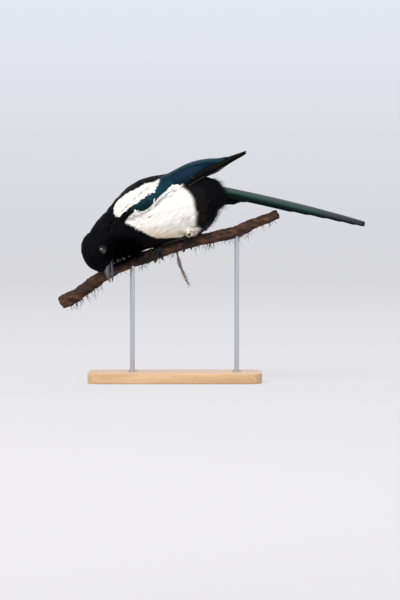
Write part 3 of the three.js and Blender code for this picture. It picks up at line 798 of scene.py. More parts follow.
def tail_taper(points):
    """Draws the rump in toward the tail's root, where long coverts hide it."""
    axis = unit(TAIL_TIP - TAIL_ROOT)
    reach = (points[:, 0] - TAIL_ROOT[0]) / axis[0]
    centre = TAIL_ROOT + reach[:, None] * axis - np.array([0, 0, 10.5])
    share = np.clip((points[:, 0] - 54) / 20, 0, 1)
    share = share * share * (3 - 2 * share)
    off = points - centre
    above = off[:, 2] > 0
    off[:, 1] *= 1 - 0.62 * share
    off[:, 2] *= np.where(above, 1 - 0.9 * share, 1 - 0.55 * np.clip((points[:, 0] - 58) / 38, 0, 1))
    off[:, 0] = 0
    moved = centre + off
    moved[:, 0] = points[:, 0]
    return np.where((share > 0)[:, None], moved, points)


def underside_shade_share(heights):
    """How much the white is painted as shaded underside, from none above the belly to all of it below."""
    return np.clip((UNDERSIDE_SHADE_TOP - heights) / UNDERSIDE_SHADE_HEIGHT, 0, 1)[:, None]


def coat_paint(points):
    """Colour of skin and coat at each point."""
    scapular, flank = white_share(points)
    black, white, underside_shade = tints(colours().black, colours().white, colours().underside_shade)
    paint = np.tile(black, (len(points), 1))
    paint[scapular] = white
    # Low on the body the white is painted darker and warmer: painted shade of the underside.
    low = underside_shade_share(points[:, 2])
    gap = edge_distance(FLANK_OUTLINE, points[:, 0], points[:, 2]) * np.where(flank, 1, -1)
    reach = np.where(points[:, 0] > 6, 2.2, 0.6)
    share = np.clip(0.5 + gap / reach / 2, 0, 1)[:, None] ** 1.5
    return paint * (1 - share) + (white * (1 - low) + underside_shade * low) * share


# Skin and coat

def grow_skin():
    """Joins the flesh into one skin, sunk by the coat's depth and painted with its markings."""
    points, faces = node_arrays(FLESH_NODES, 0.45)
    grain = sizes().skin_grain / MM
    skin = remeshed("skin", points, faces, grain, 6, skin_material(), "plumage_black")
    co, normal = arrays_of(skin)
    depth = coat_depth_at(co)
    for name in ("tail", "wing_left", "wing_right", "perch_branch", "beak_upper", "beak_lower"):
        tree = node_tree(name)
        gap = np.array([tree.find_nearest(p, 4.0)[3] or 9.0 for p in co.tolist()])
        depth *= np.clip((gap - 0.8) / 1.6, 0, 1)
    co = tail_taper(clear_bill(co - normal * depth[:, None]))
    paint_points(skin.data, coat_paint(co))
    move_points(skin, co)
    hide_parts(*FLESH_NODES)
    return skin


def skin_tree(wings=False):
    """The skin to lay feathers on, with the folded wings' outer faces where feathers cover them."""
    points, _ = arrays_of(bpy.data.objects["skin"])
    faces = [tuple(face.vertices) for face in bpy.data.objects["skin"].data.polygons]
    for side in ("left", "right") if wings else ():
        outer = bpy.data.objects[f"wing_feathers_{side}"]
        more, _ = arrays_of(outer)
        faces += [tuple(v + len(points) for v in face.vertices) for face in outer.data.polygons]
        points = np.concatenate([points, more])
    return BVHTree.FromPolygons(points.tolist(), faces)


def random_spots(rng, want, a, b, c):
    """Random places on triangles, about as many on each as wanted, and which triangle each is on."""
    pick = np.repeat(np.arange(len(want)), rng.poisson(want))
    u, v = rng.random(len(pick)), rng.random(len(pick))
    flip = u + v > 1
    u[flip], v[flip] = 1 - u[flip], 1 - v[flip]
    return a[pick] + (b - a)[pick] * u[:, None] + (c - a)[pick] * v[:, None], pick


def wing_roots(rng, gap):
    """Roots on the wings' outer faces, where scapulars and flank feathers lie over them."""
    points, tri = node_arrays(["wing_left", "wing_right"])
    a, b, c = points[tri[:, 0]], points[tri[:, 1]], points[tri[:, 2]]
    cross = np.cross(b - a, c - a)
    middle = (a + b + c) / 3
    outer = cross[:, 1] * middle[:, 1] > 0
    want = outer * np.linalg.norm(cross, axis=1) / 2 / gap ** 2 * 1.6
    roots, pick = random_spots(rng, want, a, b, c)
    keep = np.zeros(len(roots), bool)
    for outline in (SCAPULAR_OUTLINE, FLANK_OUTLINE):
        x, z = roots[:, 0], roots[:, 2]
        keep |= inside(outline, x, z) & (edge_distance(outline, x, z) > 0.7)
    return roots[keep], unit(cross)[pick][keep]


def scatter(rng):
    """Even random roots over the skin, closer together toward the face."""
    skin = bpy.data.objects["skin"]
    co, _ = arrays_of(skin)
    tri = triangles_of(skin.data)
    a, b, c = co[tri[:, 0]], co[tri[:, 1]], co[tri[:, 2]]
    cross = np.cross(b - a, c - a)
    area = np.linalg.norm(cross, axis=1) / 2
    middle = (a + b + c) / 3
    gap = np.interp(coat_distance(middle), COAT_DISTANCE, FEATHER_SPACING)
    roots, pick = random_spots(rng, area / gap ** 2 * 3.2, a, b, c)
    normals = unit(cross)[pick]
    spacing = gap[pick]
    order = rng.permutation(len(roots))
    cell = 4.2
    grid = {}
    kept = []
    for i in order:
        p = roots[i]
        key = tuple((p // cell).astype(int))
        near = [j for dx in (-1, 0, 1) for dy in (-1, 0, 1) for dz in (-1, 0, 1)
                for j in grid.get((key[0] + dx, key[1] + dy, key[2] + dz), ())]
        if near:
            d = roots[near] - p
            if (np.einsum("ij,ij->i", d, d) < spacing[i] ** 2).any():
                continue
        grid.setdefault(key, []).append(i)
        kept.append(i)
    kept = np.array(kept)
    return roots[kept], normals[kept]


def follow(tree, roots, directions, lengths, shares, stray):
    """Walks each feather's shaft over the skin; gives its points, normals and sides, row by row."""
    place = np.zeros((len(shares), len(roots), 3))
    up = np.zeros_like(place)
    here = roots.copy()
    way = directions.copy()
    past = 0.0
    for row, share in enumerate(shares):
        here = here + way * (lengths * (share - past))[:, None]
        past = share
        for i, p in enumerate(here.tolist()):
            spot, normal, _, _ = tree.find_nearest(p)
            place[row, i] = spot
            up[row, i] = normal
        fresh = coat_direction(place[row], up[row])
        way = unit(0.55 * way + 0.45 * fresh + stray * 0.15)
        way = unit(way - up[row] * np.sum(way * up[row], axis=1)[:, None])
        here = 0.5 * place[row] + 0.5 * here if row else place[row].copy()
    along = np.gradient(place, axis=0)
    side = unit(np.cross(along, up))
    return place, up, side


def bake_spot(roots):
    """A place on an unwrap of the skin: round the coat's way, and along it."""
    run = coat_distance(roots)
    places = np.array([place for place, _, _ in COAT_WAY], float)
    lengths = np.concatenate([[0], np.cumsum(np.linalg.norm(np.diff(places, axis=0), axis=1))])
    axis = np.stack([np.interp(run, lengths, places[:, k]) for k in range(3)], -1)
    off = roots - axis
    turn = np.arctan2(off[:, 1], off[:, 2]) / (2 * math.pi) + 0.5
    return np.stack([0.01 + 0.98 * turn, 0.01 + 0.98 * run / lengths[-1]], -1)


SHAPE_ROWS = np.array([0.0, 0.28, 0.58, 0.84, 1.0])
SHAPE_WIDTHS = np.array([0.3, 0.8, 1.0, 0.82, 0.3])
FINE_ROWS = np.array([0.0, 0.14, 0.28, 0.43, 0.58, 0.71, 0.82, 0.92, 1.0])
SHAPE_COLUMNS = np.array([-1.0, -0.5, 0.0, 0.5, 1.0])


def vanes(tree, roots, normals, lengths, widths, lifts, room, rng, raggedness, shape_rows=SHAPE_ROWS):
    """Cupped contour feathers with broken tips, as one set of points and faces."""
    count = len(roots)
    stray = rng.normal(0, 1, (count, 3))
    directions = coat_direction(roots, normals)
    directions = unit(directions + stray * 0.1)
    place, up, side = follow(tree, roots, directions, lengths, shape_rows, stray)
    rows, columns = len(shape_rows), len(SHAPE_COLUMNS)
    points = np.zeros((count, rows, columns, 3))
    vane = np.zeros((count, rows, columns, 2))
    layer = rng.uniform(-0.15, 0.25, count) * np.clip(lengths / 14, 0.3, 1)
    for r in range(rows):
        share = shape_rows[r]
        half = widths * np.interp(share, SHAPE_ROWS, SHAPE_WIDTHS)
        rise = math.sin(min(share / 0.5, 1) * math.pi / 2)
        height = -ROOT_SUNK + layer + (room + 0.55) * rise + lifts * lengths * share
        for c in range(columns):
            across = SHAPE_COLUMNS[c]
            back = np.zeros(count)
            if r >= rows - 2:
                back = rng.uniform(0, 1, count) * raggedness * (1.0 if r == rows - 1 else 0.35)
                back += 0.16 * across ** 2 * (r == rows - 1)
            behind = place[max(r - 1, 0)] if r else place[0]
            centre = place[r] + (behind - place[r]) * back[:, None] * 1.4
            cup = -VANE_CUP * half * across ** 2
            points[:, r, c] = (centre + side[r] * (half * across)[:, None]
                               + up[r] * (height + cup)[:, None])
            vane[:, r, c, 0] = half * across
            vane[:, r, c, 1] = lengths * share
    block = np.arange(rows * columns).reshape(rows, columns)
    quads = np.stack([block[:-1, :-1], block[:-1, 1:], block[1:, 1:], block[1:, :-1]], -1).reshape(-1, 4)
    faces = (quads[None] + (np.arange(count) * rows * columns)[:, None, None]).reshape(-1, 4)
    local = np.stack(np.meshgrid(np.linspace(-0.5, 0.5, columns), np.linspace(-0.5, 0.5, rows)), -1)
    bake = (bake_spot(roots)[:, None, None] + local[None] * BAKE_PATCH).reshape(-1, 2)
    return points.reshape(-1, 3), faces, vane.reshape(-1, 2), bake, rows * columns


def tufts(tree, roots, normals, lengths, spread, lifts, rng, hairs, droop=0.0, breadth=0.32):
    """Loose downy tufts: thin separate barbs fanned from one root."""
    count = len(roots)
    rows = 4
    shares = np.linspace(0, 1, rows)
    stray = rng.normal(0, 1, (count, 3))
    directions = unit(coat_direction(roots, normals) + stray * 0.12)
    place, up, side = follow(tree, roots, directions, lengths, shares, stray)
    points = np.zeros((count, hairs, rows, 2, 3))
    vane = np.zeros((count, hairs, rows, 2, 2))
    index = np.arange(count)
    for h in range(hairs):
        lean = rng.uniform(-1, 1, count) * spread
        long = rng.uniform(0.7, 1.1, count)
        lifted = lifts * rng.uniform(0.4, 1.5, count)
        for r, share in enumerate(shares):
            reach = share * long
            low = np.clip(reach * (rows - 1), 0, rows - 1)
            cell = np.minimum(low.astype(int), rows - 2)
            t = (low - cell)[:, None]
            centre = place[cell, index] * (1 - t) + place[cell + 1, index] * t
            beyond = np.maximum(reach - 1, 0)[:, None] * (place[-1] - place[-2]) * (rows - 1)
            out = unit(up[cell, index])
            centre = centre + beyond + side[r] * (lean * lengths * share ** 1.3)[:, None]
            centre = centre + out * (-ROOT_SUNK + lifted * lengths * share ** 1.5 + 0.8 * share)[:, None]
            centre[:, 2] -= droop * lengths * share ** 2
            half = breadth * (1 - share) + 0.07
            for e, way in enumerate((-1, 1)):
                points[:, h, r, e] = centre + side[r] * half * way
                vane[:, h, r, e] = np.stack([np.full(count, half * way), lengths * share], -1)
    block = np.arange(rows * 2).reshape(rows, 2)
    quads = np.stack([block[:-1, 0], block[:-1, 1], block[1:, 1], block[1:, 0]], -1)
    faces = (quads[None] + (np.arange(count * hairs) * rows * 2)[:, None, None]).reshape(-1, 4)
    spot = np.repeat(bake_spot(roots), hairs * rows * 2, axis=0)
    local = rng.uniform(-BAKE_PATCH / 2, BAKE_PATCH / 2, spot.shape)
    return points.reshape(-1, 3), faces, vane.reshape(-1, 2), spot + local, hairs * rows * 2


def coat_piece(name, made, paint, material, slot, painted=False):
    """One coat mesh. Painted ones take the markings at each point, others one colour a tuft."""
    points, faces, vane, bake, each = made
    tone = np.repeat(paint, each, axis=0)
    if painted:
        tone = tone * coat_paint(points)
    return make_mesh(name, points, faces, material, slot, {"OFBake": bake, "Vane": vane}, tone)


def clear_of_hard_parts(roots):
    """Roots that no wing, tail, bill, eye or branch covers."""
    keep = np.ones(len(roots), bool)
    for name, room in (("wing_left", 1.0), ("wing_right", 1.0), ("tail", 1.4), ("beak_upper", 0.6),
                       ("beak_lower", 0.6), ("perch_branch", 0.8), ("foot_left", 0.8), ("foot_right", 0.8)):
        tree = node_tree(name)
        keep &= np.array([tree.find_nearest(p, room)[0] is None for p in roots.tolist()])
    for side in ("left", "right"):
        keep &= np.linalg.norm(roots - eye_centre(side), axis=1) > eye_radius() + 0.2
    return keep


def inner_length(roots, normals, rng):
    """Longest feather, up to about 9 mm, whose tip stays inside the white marking it starts in."""
    way = coat_direction(roots, normals)
    lengths = np.full(len(roots), 1.6)
    for reach in (2.4, 3.2, 4.0, 5.0, 6.0, 7.0, 8.0, 9.0):
        tips = roots + way * reach
        held = np.zeros(len(roots), bool)
        for outline in (SCAPULAR_OUTLINE, FLANK_OUTLINE):
            held |= inside(outline, tips[:, 0], tips[:, 2])
        lengths = np.where(held, reach, lengths)
    return lengths * rng.uniform(0.9, 1.05, len(roots))


def grow_coat():
    """Contour feathers over the body and the upper edges of the wings, region by region."""
    rng = np.random.default_rng(SEED)
    tree = skin_tree(wings=True)
    roots, normals = scatter(rng)
    keep = clear_of_hard_parts(roots)
    roots, normals = roots[keep], normals[keep]
    over, over_normals = wing_roots(rng, WING_ROOT_SPACING)
    on_wing = np.concatenate([np.zeros(len(roots), bool), np.ones(len(over), bool)])
    roots, normals = np.concatenate([roots, over]), np.concatenate([normals, over_normals])
    run = coat_distance(roots)
    lengths = np.interp(run, COAT_DISTANCE, FEATHER_LENGTH) * rng.uniform(0.85, 1.15, len(roots))
    eye_gap = np.minimum(*(np.linalg.norm(roots - eye_centre(s), axis=1) for s in ("left", "right")))
    lengths *= np.clip((eye_gap - 4) / 10, 0.3, 1) * sizes().feather_scale
    lengths[on_wing] = inner_length(roots[on_wing], normals[on_wing], rng)
    rear = roots[:, 0] > RUMP_START
    tail_plane = TAIL_ROOT[2] - (roots[:, 0] - TAIL_ROOT[0]) * TAIL_SLOPE
    below = np.clip(tail_plane - 5 - roots[:, 2], 0, 20)
    limit = np.where(roots[:, 2] > tail_plane - 2, COVERT_END, UNDERTAIL_END - 1.6 * below)
    lengths = np.where(rear, np.minimum(lengths, (limit - roots[:, 0]) * 1.05), lengths)
    beside_tail = rear & (roots[:, 0] > 66) & (roots[:, 2] > tail_plane - 10)
    short = ((lengths < 2.2) & ~on_wing) | beside_tail
    roots, normals, lengths, on_wing, run = (a[~short] for a in (roots, normals, lengths, on_wing, run))
    widths = lengths * np.interp(lengths, [3, 12, 22], [0.19, 0.22, 0.25])
    lifts = np.full(len(roots), 0.02)
    edge = np.minimum(*(edge_distance(outline, roots[:, 0], roots[:, 2])
                        for outline in (SCAPULAR_OUTLINE, FLANK_OUTLINE)))
    widths[on_wing] = np.clip(0.35 + 0.45 * edge[on_wing], 0.6, 1.5)
    room = np.where(on_wing, 0.6, coat_depth_at(roots))
    nape = np.exp(-((run - 42) / 14) ** 2) * (normals[:, 0] < -0.2)
    room = room + 2.2 * nape
    scapular, flank = white_share(roots, 0.6, SEED)
    scapular |= on_wing
    thigh = np.zeros(len(roots), bool)
    for name in ("thigh_left", "thigh_right"):
        near = node_tree(name)
        thigh |= np.array([near.find_nearest(p, 2.2)[0] is not None for p in roots.tolist()])
    thigh &= roots[:, 2] < 212
    white = scapular | flank
    shade = rng.uniform(0.88, 1.0, len(roots))[:, None] * np.ones(3)
    black = black_contour_feather()
    pale = white_contour_feather()
    regions = [
        ("coat_face", ~white & (run < 34) & ~thigh, black, "plumage_black", 0.2),
        ("coat_neck", ~white & (run >= 34) & (run < 95) & ~thigh, black, "plumage_black", 0.25),
        ("coat_back_and_vent", ~white & (run >= 95) & ~thigh, black, "plumage_black", 0.3),
        ("coat_thighs", ~white & thigh, black, "plumage_black", 0.3),
        ("coat_scapulars", scapular & ~on_wing, pale, "plumage_white", 0.2),
        ("coat_flanks", flank & ~scapular & ~on_wing, pale, "plumage_white", 0.3),
        ("coat_over_wings", white & on_wing, pale, "plumage_white", 0.2),
    ]
    shade[on_wing] *= np.array(linear(colours().white))
    for name, chosen, material, slot, ragged in regions:
        made = vanes(tree, roots[chosen], normals[chosen], lengths[chosen], widths[chosen], lifts[chosen],
                     room[chosen], rng, ragged, FINE_ROWS if material is pale else SHAPE_ROWS)
        coat_piece(name, made, shade[chosen], material, slot, painted=name != "coat_over_wings")
    loose_edges(tree, roots, normals, run, flank, scapular, rng, black, pale)


def loose_edges(tree, roots, normals, run, flank, scapular, rng, black, pale):
    """Downy fringes: the flank's rear and lower edge, the throat, and the vent with the rump."""
    x, z = roots[:, 0], roots[:, 2]
    gap = edge_distance(FLANK_OUTLINE, x, z)
    rear = flank & (gap < 9) & (gap > 3) & (x > 0)
    low = flank & (z < 204) & (gap < 9)
    fringe = rear | low
    white, underside_shade = tints(colours().white, colours().underside_shade)
    # The fringe's white is painted darker and warmer low down: painted shade of the underside.
    share = underside_shade_share(z[fringe])
    made = tufts(tree, roots[fringe], normals[fringe], rng.uniform(6, 10, fringe.sum()), 0.24,
                 np.full(fringe.sum(), 0.08), rng, 14, 0.0, 0.24)
    coat_piece("coat_flank_down", made, white * (1 - share) + underside_shade * share, pale, "plumage_white")
    throat = (run > 6) & (run < 80) & (normals[:, 2] < -0.25) & (x > -100) & (x < -52) & (z < 196)
    reach = np.where(x[throat] < -64, rng.uniform(15, 22, throat.sum()), rng.uniform(9, 14, throat.sum()))
    made = tufts(tree, roots[throat], normals[throat], reach, 0.16,
                 np.full(throat.sum(), 0.2), rng, 16, 0.75, 0.6)
    coat_piece("coat_throat_down", made, np.tile(linear(colours().black), (throat.sum(), 1)), black,
               "plumage_black")
    vent = ~flank & ~scapular & (((x > 30) & (z < 236)) | ((x > 42) & (z > 262))) & (x < 78)
    made = tufts(tree, roots[vent], normals[vent], rng.uniform(13, 23, vent.sum()), 0.3,
                 np.full(vent.sum(), 0.3), rng, 8)
    coat_piece("coat_vent_down", made, np.tile(linear(colours().black), (vent.sum(), 1)), black,
               "plumage_black")


# Flight feathers

def wing_surface(share, part, height):
    """A point on the left wing, from wrist to tip, from upper to lower edge, and out from its middle."""
    row = smooth_rows(WING_STATIONS, share)
    ahead = smooth_rows(WING_STATIONS, np.minimum(share + 0.02, 1))
    behind = smooth_rows(WING_STATIONS, np.maximum(share - 0.02, 0))
    upper, lower = row[..., :3], row[..., 3:6]
    down = lower - upper
    chord = np.linalg.norm(down, axis=-1, keepdims=True)
    out = unit(np.cross(ahead[..., :3] - behind[..., :3], down))
    out = np.where(out[..., 1:2] > 0, -out, out)
    part = part[..., None]
    bow = 4 * part * (1 - part) * chord * WING_BOW
    return upper + down * part + out * (bow + height[..., None]), chord[..., 0]


def long_vane(rows, columns, centre_share, centre_part, half_widths, height, crown):
    """A flight feather on the wing: its points."""
    across = np.linspace(-1, 1, columns)
    _, chord = wing_surface(centre_share, centre_part, np.zeros(rows))
    part = centre_part[:, None] + across[None] * half_widths[:, None] / np.maximum(chord, 2)[:, None]
    part = np.clip(part, -0.04, 1.04)
    share = np.repeat(centre_share[:, None], columns, axis=1)
    rise = height[:, None] + crown * (1 - across[None] ** 2) + 0.25 * (np.abs(across[None]) < 0.12)
    room = np.interp(share, np.linspace(0, 1, len(WING_HALF_THICKNESS)), WING_HALF_THICKNESS) / 3.6
    points, _ = wing_surface(share, part, rise * room)
    return points


def grid_faces(rows, columns, start):
    """Faces of a sheet of rows and columns whose first point has the given number."""
    block = np.arange(rows * columns).reshape(rows, columns) + start
    return np.stack([block[:-1, :-1], block[:-1, 1:], block[1:, 1:], block[1:, :-1]], -1).reshape(-1, 4)


def tip_profile(t, blunt=0.16):
    """Half width along a flight feather: narrow quill, parallel vane, rounded tip."""
    start = np.clip(t / 0.25, 0, 1) ** 0.5 * 0.55 + 0.45
    end = np.sqrt(np.clip(1 - np.clip((t - 1 + blunt) / blunt, 0, 1) ** 2.2, 0.02, 1))
    return start * end


def to_right_wing(points):
    """Mirrors points of the left wing; the right wing's tip hangs a little lower."""
    share = np.clip((points[:, 0] - WRIST_X) / WING_RUN, 0, 1)
    fall = np.zeros_like(points)
    fall[:, 2] = RIGHT_TIP_DROP * share ** 3
    return points * np.array([1, -1, 1]) - fall


def feather_wing(side):
    """Every row of one wing's feathers, painted white under the scapulars and the flank."""
    rng = np.random.default_rng(SEED + 3)
    points, faces, paint, vane, bake = [], [], [], [], []
    rows, columns = 22, 9
    total = sum(row[1] for row in WING_ROWS)
    made = 0
    count = 0
    for name, number, root, tips, root_parts, tip_parts, half, height, codes in WING_ROWS:
        for k in range(number):
            step = k / (number - 1)
            t = np.linspace(0, 1, rows)
            tip = tips[0] + (tips[1] - tips[0]) * step + rng.uniform(-0.006, 0.006)
            if name == "primary":
                tip = PRIMARY_TIPS[k]
            share = root + (tip - root) * t
            start_part = root_parts[0] + (root_parts[1] - root_parts[0]) * step
            end_part = tip_parts[0] + (tip_parts[1] - tip_parts[0]) * step
            part = start_part + (end_part - start_part) * t
            widths = half * tip_profile(t, 0.2)
            if name == "primary":
                widths = widths * (1 - 0.45 * t)
            stack = (step if name != "primary" else 1 - step) * 0.9
            level = np.full(rows, height + stack)
            crown = 0.05 * half
            grid = long_vane(rows, columns, share, part, widths, level, crown)
            first, last = tints(*codes)
            tone = (first + (last - first) * step) * rng.uniform(0.8, 0.98)
            colour = np.tile(tone, (rows, columns, 1))
            across = np.linspace(-1, 1, columns)
            # Each feather is painted darker toward both its edges: painted shade where the feathers meet and
            # overlap.
            colour *= (1 - 0.35 * np.clip(np.abs(across) - 0.7, 0, 1) / 0.3)[None, :, None]
            if name in ("secondary", "greater", "tertial"):
                colour[:, :2] = colour[:, :2] * 1.25
                colour[:, -2:] *= 0.5
            if name == "primary":
                colour[:, 4] = np.array(linear("1c1814"))
            if name == "primary" and k in (7, 8):
                inner = (t > 0.62 + 0.08 * (k == 7)) & (t < 0.74 + 0.1 * (k == 7))
                colour[inner, -3:] = np.array(linear("a8a39a"))
            if name == "primary" and k == 8:
                colour[3:13, -1] = np.array(linear("6b5440"))
            margin = 0.3 if name in ("greater", "median", "lesser") else 3.0
            for outline in (SCAPULAR_OUTLINE, FLANK_OUTLINE):
                x, z = grid[..., 0].ravel(), grid[..., 2].ravel()
                under = inside(outline, x, z) & (edge_distance(outline, x, z) > margin)
                colour[under.reshape(rows, columns)] = linear(colours().white)
            points.append(grid.reshape(-1, 3))
            paint.append(colour.reshape(-1, 3))
            faces.append(grid_faces(rows, columns, count))
            length = (tip - root) * WING_LENGTH
            vane.append(np.stack(np.meshgrid(across * half, t * length), -1).reshape(-1, 2))
            cell = np.stack(np.meshgrid(across * 0.42 + 0.5, t * 0.98 + 0.01), -1)
            cell[..., 0] = (made + cell[..., 0]) / total
            bake.append(cell.reshape(-1, 2))
            count += rows * columns
            made += 1
    points = np.concatenate(points)
    if side == "right":
        points = to_right_wing(points)
    material = bpy.data.materials.get("iridescent flight feather") or glossy_wing_feather()
    layers = {"OFBake": np.concatenate(bake), "Vane": np.concatenate(vane)}
    piece = make_mesh(f"wing_feathers_{side}", points, np.concatenate(faces), material, "flight_feather",
                      layers, np.concatenate(paint))
    thicken(piece, WING_VANE_THICKNESS)
    wing_core(side)
    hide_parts(f"wing_{side}")


def thicken(piece, amount):
    """Gives sheets of vane their thickness in millimetres."""
    modifier = piece.modifiers.new("vane", "SOLIDIFY")
    modifier.thickness = amount * MM
    modifier.offset = -1
    apply_modifiers(piece)


def wing_core(side):
    """The dark bundle of vanes and shafts between the wing's outer feathers and the body."""
    rows, columns = 30, 7
    share = np.linspace(0.01, 0.93, rows)
    across = np.linspace(0.05, 0.95, columns)
    grid_share, grid_part = np.meshgrid(share, across, indexing="ij")
    outer, _ = wing_surface(grid_share, grid_part, np.full(grid_share.shape, 0.1))
    thin = 2.3 * (1 - 0.8 * grid_share)
    inner, _ = wing_surface(grid_share, grid_part, -thin)
    points = np.concatenate([outer, inner[:, ::-1]], axis=1).reshape(-1, 3)
    faces = tube_faces(rows, columns * 2)
    if side == "right":
        points = to_right_wing(points)
        faces = [tuple(reversed(face)) for face in faces]
    material = bpy.data.materials.get("wing underlayer") or underlayer_material()
    make_mesh(f"wing_core_{side}", points, faces, material, "flight_feather")


def tail_axes():
    """The tail's axis, side and upper directions; its near edge hangs lower, so its top is seen."""
    axis = unit(TAIL_TIP - TAIL_ROOT)
    roll = math.radians(TAIL_ROLL_DEGREES)
    side = np.array([0.0, 1.0, 0.0])
    side = side * math.cos(roll) + np.cross(axis, side) * math.sin(roll)
    up = np.cross(side, axis)
    if up[2] < 0:
        up = -up
    return axis, side, up


def feather_tail():
    """Twelve graduated tail feathers, green, then bronze, with a dark violet tip, the lower pairs painted
    darker as painted shade.
    """
    axis, side, up = tail_axes()
    full = np.linalg.norm(TAIL_TIP - TAIL_ROOT)
    rows, columns = 44, 9
    across = np.linspace(-1, 1, columns)
    green, bronze = tints(colours().tail_green, colours().tail_bronze)
    violet, tip_dark, dark = tints("2c2a44", "121318", "0d0f12")
    points, faces, paint, vane, bake = [], [], [], [], []
    count = 0
    total = len(TAIL_PAIR_LENGTHS) * 2
    for pair, part in enumerate(TAIL_PAIR_LENGTHS):
        for way in (-1, 1):
            length = full * part - (1.5 if way > 0 else 0)
            t = np.linspace(0, 1, rows)
            near_tip = np.clip(1 - (1 - t) * length / TAIL_TIP_ROUND, 0, 1)
            rounding = np.sqrt(np.clip(1 - near_tip ** 2.6, 0.7, 1))
            half = TAIL_HALF_WIDTH * (0.8 + 0.2 * np.clip(t * 2.2, 0, 1)) * rounding
            sideways = way * (1.0 + TAIL_SPREAD * pair) * np.clip(t * 3, 0, 1)
            reach = t * length
            sag = 4 * TAIL_SAG * (reach / full) * (1 - reach / full)
            lateral = sideways[:, None] + half[:, None] * across[None]
            drop = -TAIL_ARCH * (lateral / TAIL_ARCH_WIDTH) ** 2 - pair * TAIL_STACK
            drop = drop - (0.3 if way > 0 else 0)
            drop = drop + 0.3 * (np.abs(across) < 0.12)[None] + 0.55
            grid = (TAIL_ROOT + reach[:, None, None] * axis + lateral[..., None] * side
                    + (sag[:, None] + drop)[..., None] * up)
            along = np.clip((reach / full)[:, None], 0, 1)
            colour = green + (bronze - green) * np.clip((along - 0.62) / 0.2, 0, 1)[..., None]
            colour = colour + (violet - colour) * np.clip((along - 0.84) / 0.06, 0, 1)[..., None]
            colour = colour + (tip_dark - colour) * np.clip((along - 0.92) / 0.05, 0, 1)[..., None]
            colour = np.repeat(colour, columns, axis=1)
            inner = across * way < -0.25
            if pair > 0:
                colour[:, inner] = colour[:, inner] * 0.6 + dark * 0.2
            # Lower pairs are painted darker: painted shade under the pairs above.
            colour = colour * TAIL_PAIR_TONE_AND_SHADE[pair]
            points.append(grid.reshape(-1, 3))
            paint.append(colour.reshape(-1, 3))
            faces.append(grid_faces(rows, columns, count))
            vane.append(np.stack(np.meshgrid(across * TAIL_HALF_WIDTH, t * length), -1).reshape(-1, 2))
            cell = np.stack(np.meshgrid(across * 0.42 + 0.5, t * 0.98 + 0.01), -1)
            cell[..., 0] = (pair * 2 + (way > 0) + cell[..., 0]) / total
            bake.append(cell.reshape(-1, 2))
            count += rows * columns
    material = painted_feather("iridescent tail feather", 0.5, 0.35, 0.0, 0.25, 0.8, 0.04)
    layers = {"OFBake": np.concatenate(bake), "Vane": np.concatenate(vane)}
    piece = make_mesh("tail_feathers", np.concatenate(points), np.concatenate(faces), material,
                      "tail_feather", layers, np.concatenate(paint))
    thicken(piece, TAIL_VANE_THICKNESS)
    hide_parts("tail")


# Head parts

def make_eyes():
    """Both eyeballs, domed in front and painted with pupil, iris and rim, and their lids."""
    forward, crown, left = head_directions()
    radius = eye_radius()
    material = eye_material()
    lid_material = horn_material("bare eyelid skin", "060607", 0.7)
    pupil, iris, rim = tints("020202", "180c05", "050403")
    for side, way in (("left", 1), ("right", -1)):
        centre = eye_centre(side)
        look = unit(left * way + forward * 0.18 + crown * 0.02)
        first = unit(np.cross(look, crown))
        second = np.cross(look, first)
        rings, steps = 40, 24
        points, paint = [], []
        for i in range(steps + 1):
            polar = math.pi * max(i / steps, 0.002)
            tone = pupil if polar < PUPIL_EDGE else iris if polar < IRIS_EDGE else rim
            bulge = 1 + 0.05 * math.exp(-(polar / 0.5) ** 2)
            for j in range(rings):
                turn = 2 * math.pi * j / rings
                aside = first * math.cos(turn) + second * math.sin(turn)
                ray = look * math.cos(polar) + aside * math.sin(polar)
                points.append(centre + ray * radius * bulge)
                paint.append(tone)
        faces = tube_faces(steps + 1, rings)
        eye = make_mesh(f"eyeball_{side}", points, faces, material, "eye", paint=np.array(paint))
        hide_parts(f"eye_{side}")
        lid_ring(side, centre, look, forward, crown, radius, lid_material)


def lid_ring(side, centre, look, forward, crown, radius, material):
    """Bare rim of the lids: an almond ring that sits on the ball, a little fuller above."""
    ahead = unit(forward - look * (forward @ look))
    above = unit(np.cross(ahead, look))
    above = above if above @ crown > 0 else -above
    points, faces = [], []
    turns, sides = 44, 10
    for i in range(turns):
        turn = 2 * math.pi * i / turns
        flat = ahead * math.cos(turn) * LID_HALF_LENGTH + above * math.sin(turn) * LID_HALF_HEIGHT
        spread = np.linalg.norm(flat)
        depth = math.sqrt(max(radius ** 2 - spread ** 2, 0.3))
        middle = centre + flat + look * depth
        out = unit(flat)
        thick = 0.62 + (0.18 if math.sin(turn) > 0 else 0)
        for j in range(sides):
            roll = 2 * math.pi * j / sides
            points.append(middle + out * math.cos(roll) * thick + look * math.sin(roll) * thick * 0.8)
    for i in range(turns):
        for j in range(sides):
            a, b = i * sides + j, i * sides + (j + 1) % sides
            c, d = (i + 1) % turns * sides + (j + 1) % sides, (i + 1) % turns * sides + j
            faces.append((a, b, c, d))
    make_mesh(f"eyelids_{side}", points, faces, material, "plumage_black")


def make_bill():
    """Both mandibles, smoothed, and the bristles over their base."""
    horn = horn_material("polished bill keratin", colours().horn, 0.34)
    for name in ("beak_upper", "beak_lower"):
        points, faces = node_arrays([name])
        piece = remeshed(f"horn_{name}", points, faces, 0.42, 3, horn, "horn")
        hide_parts(name)
    bristles()


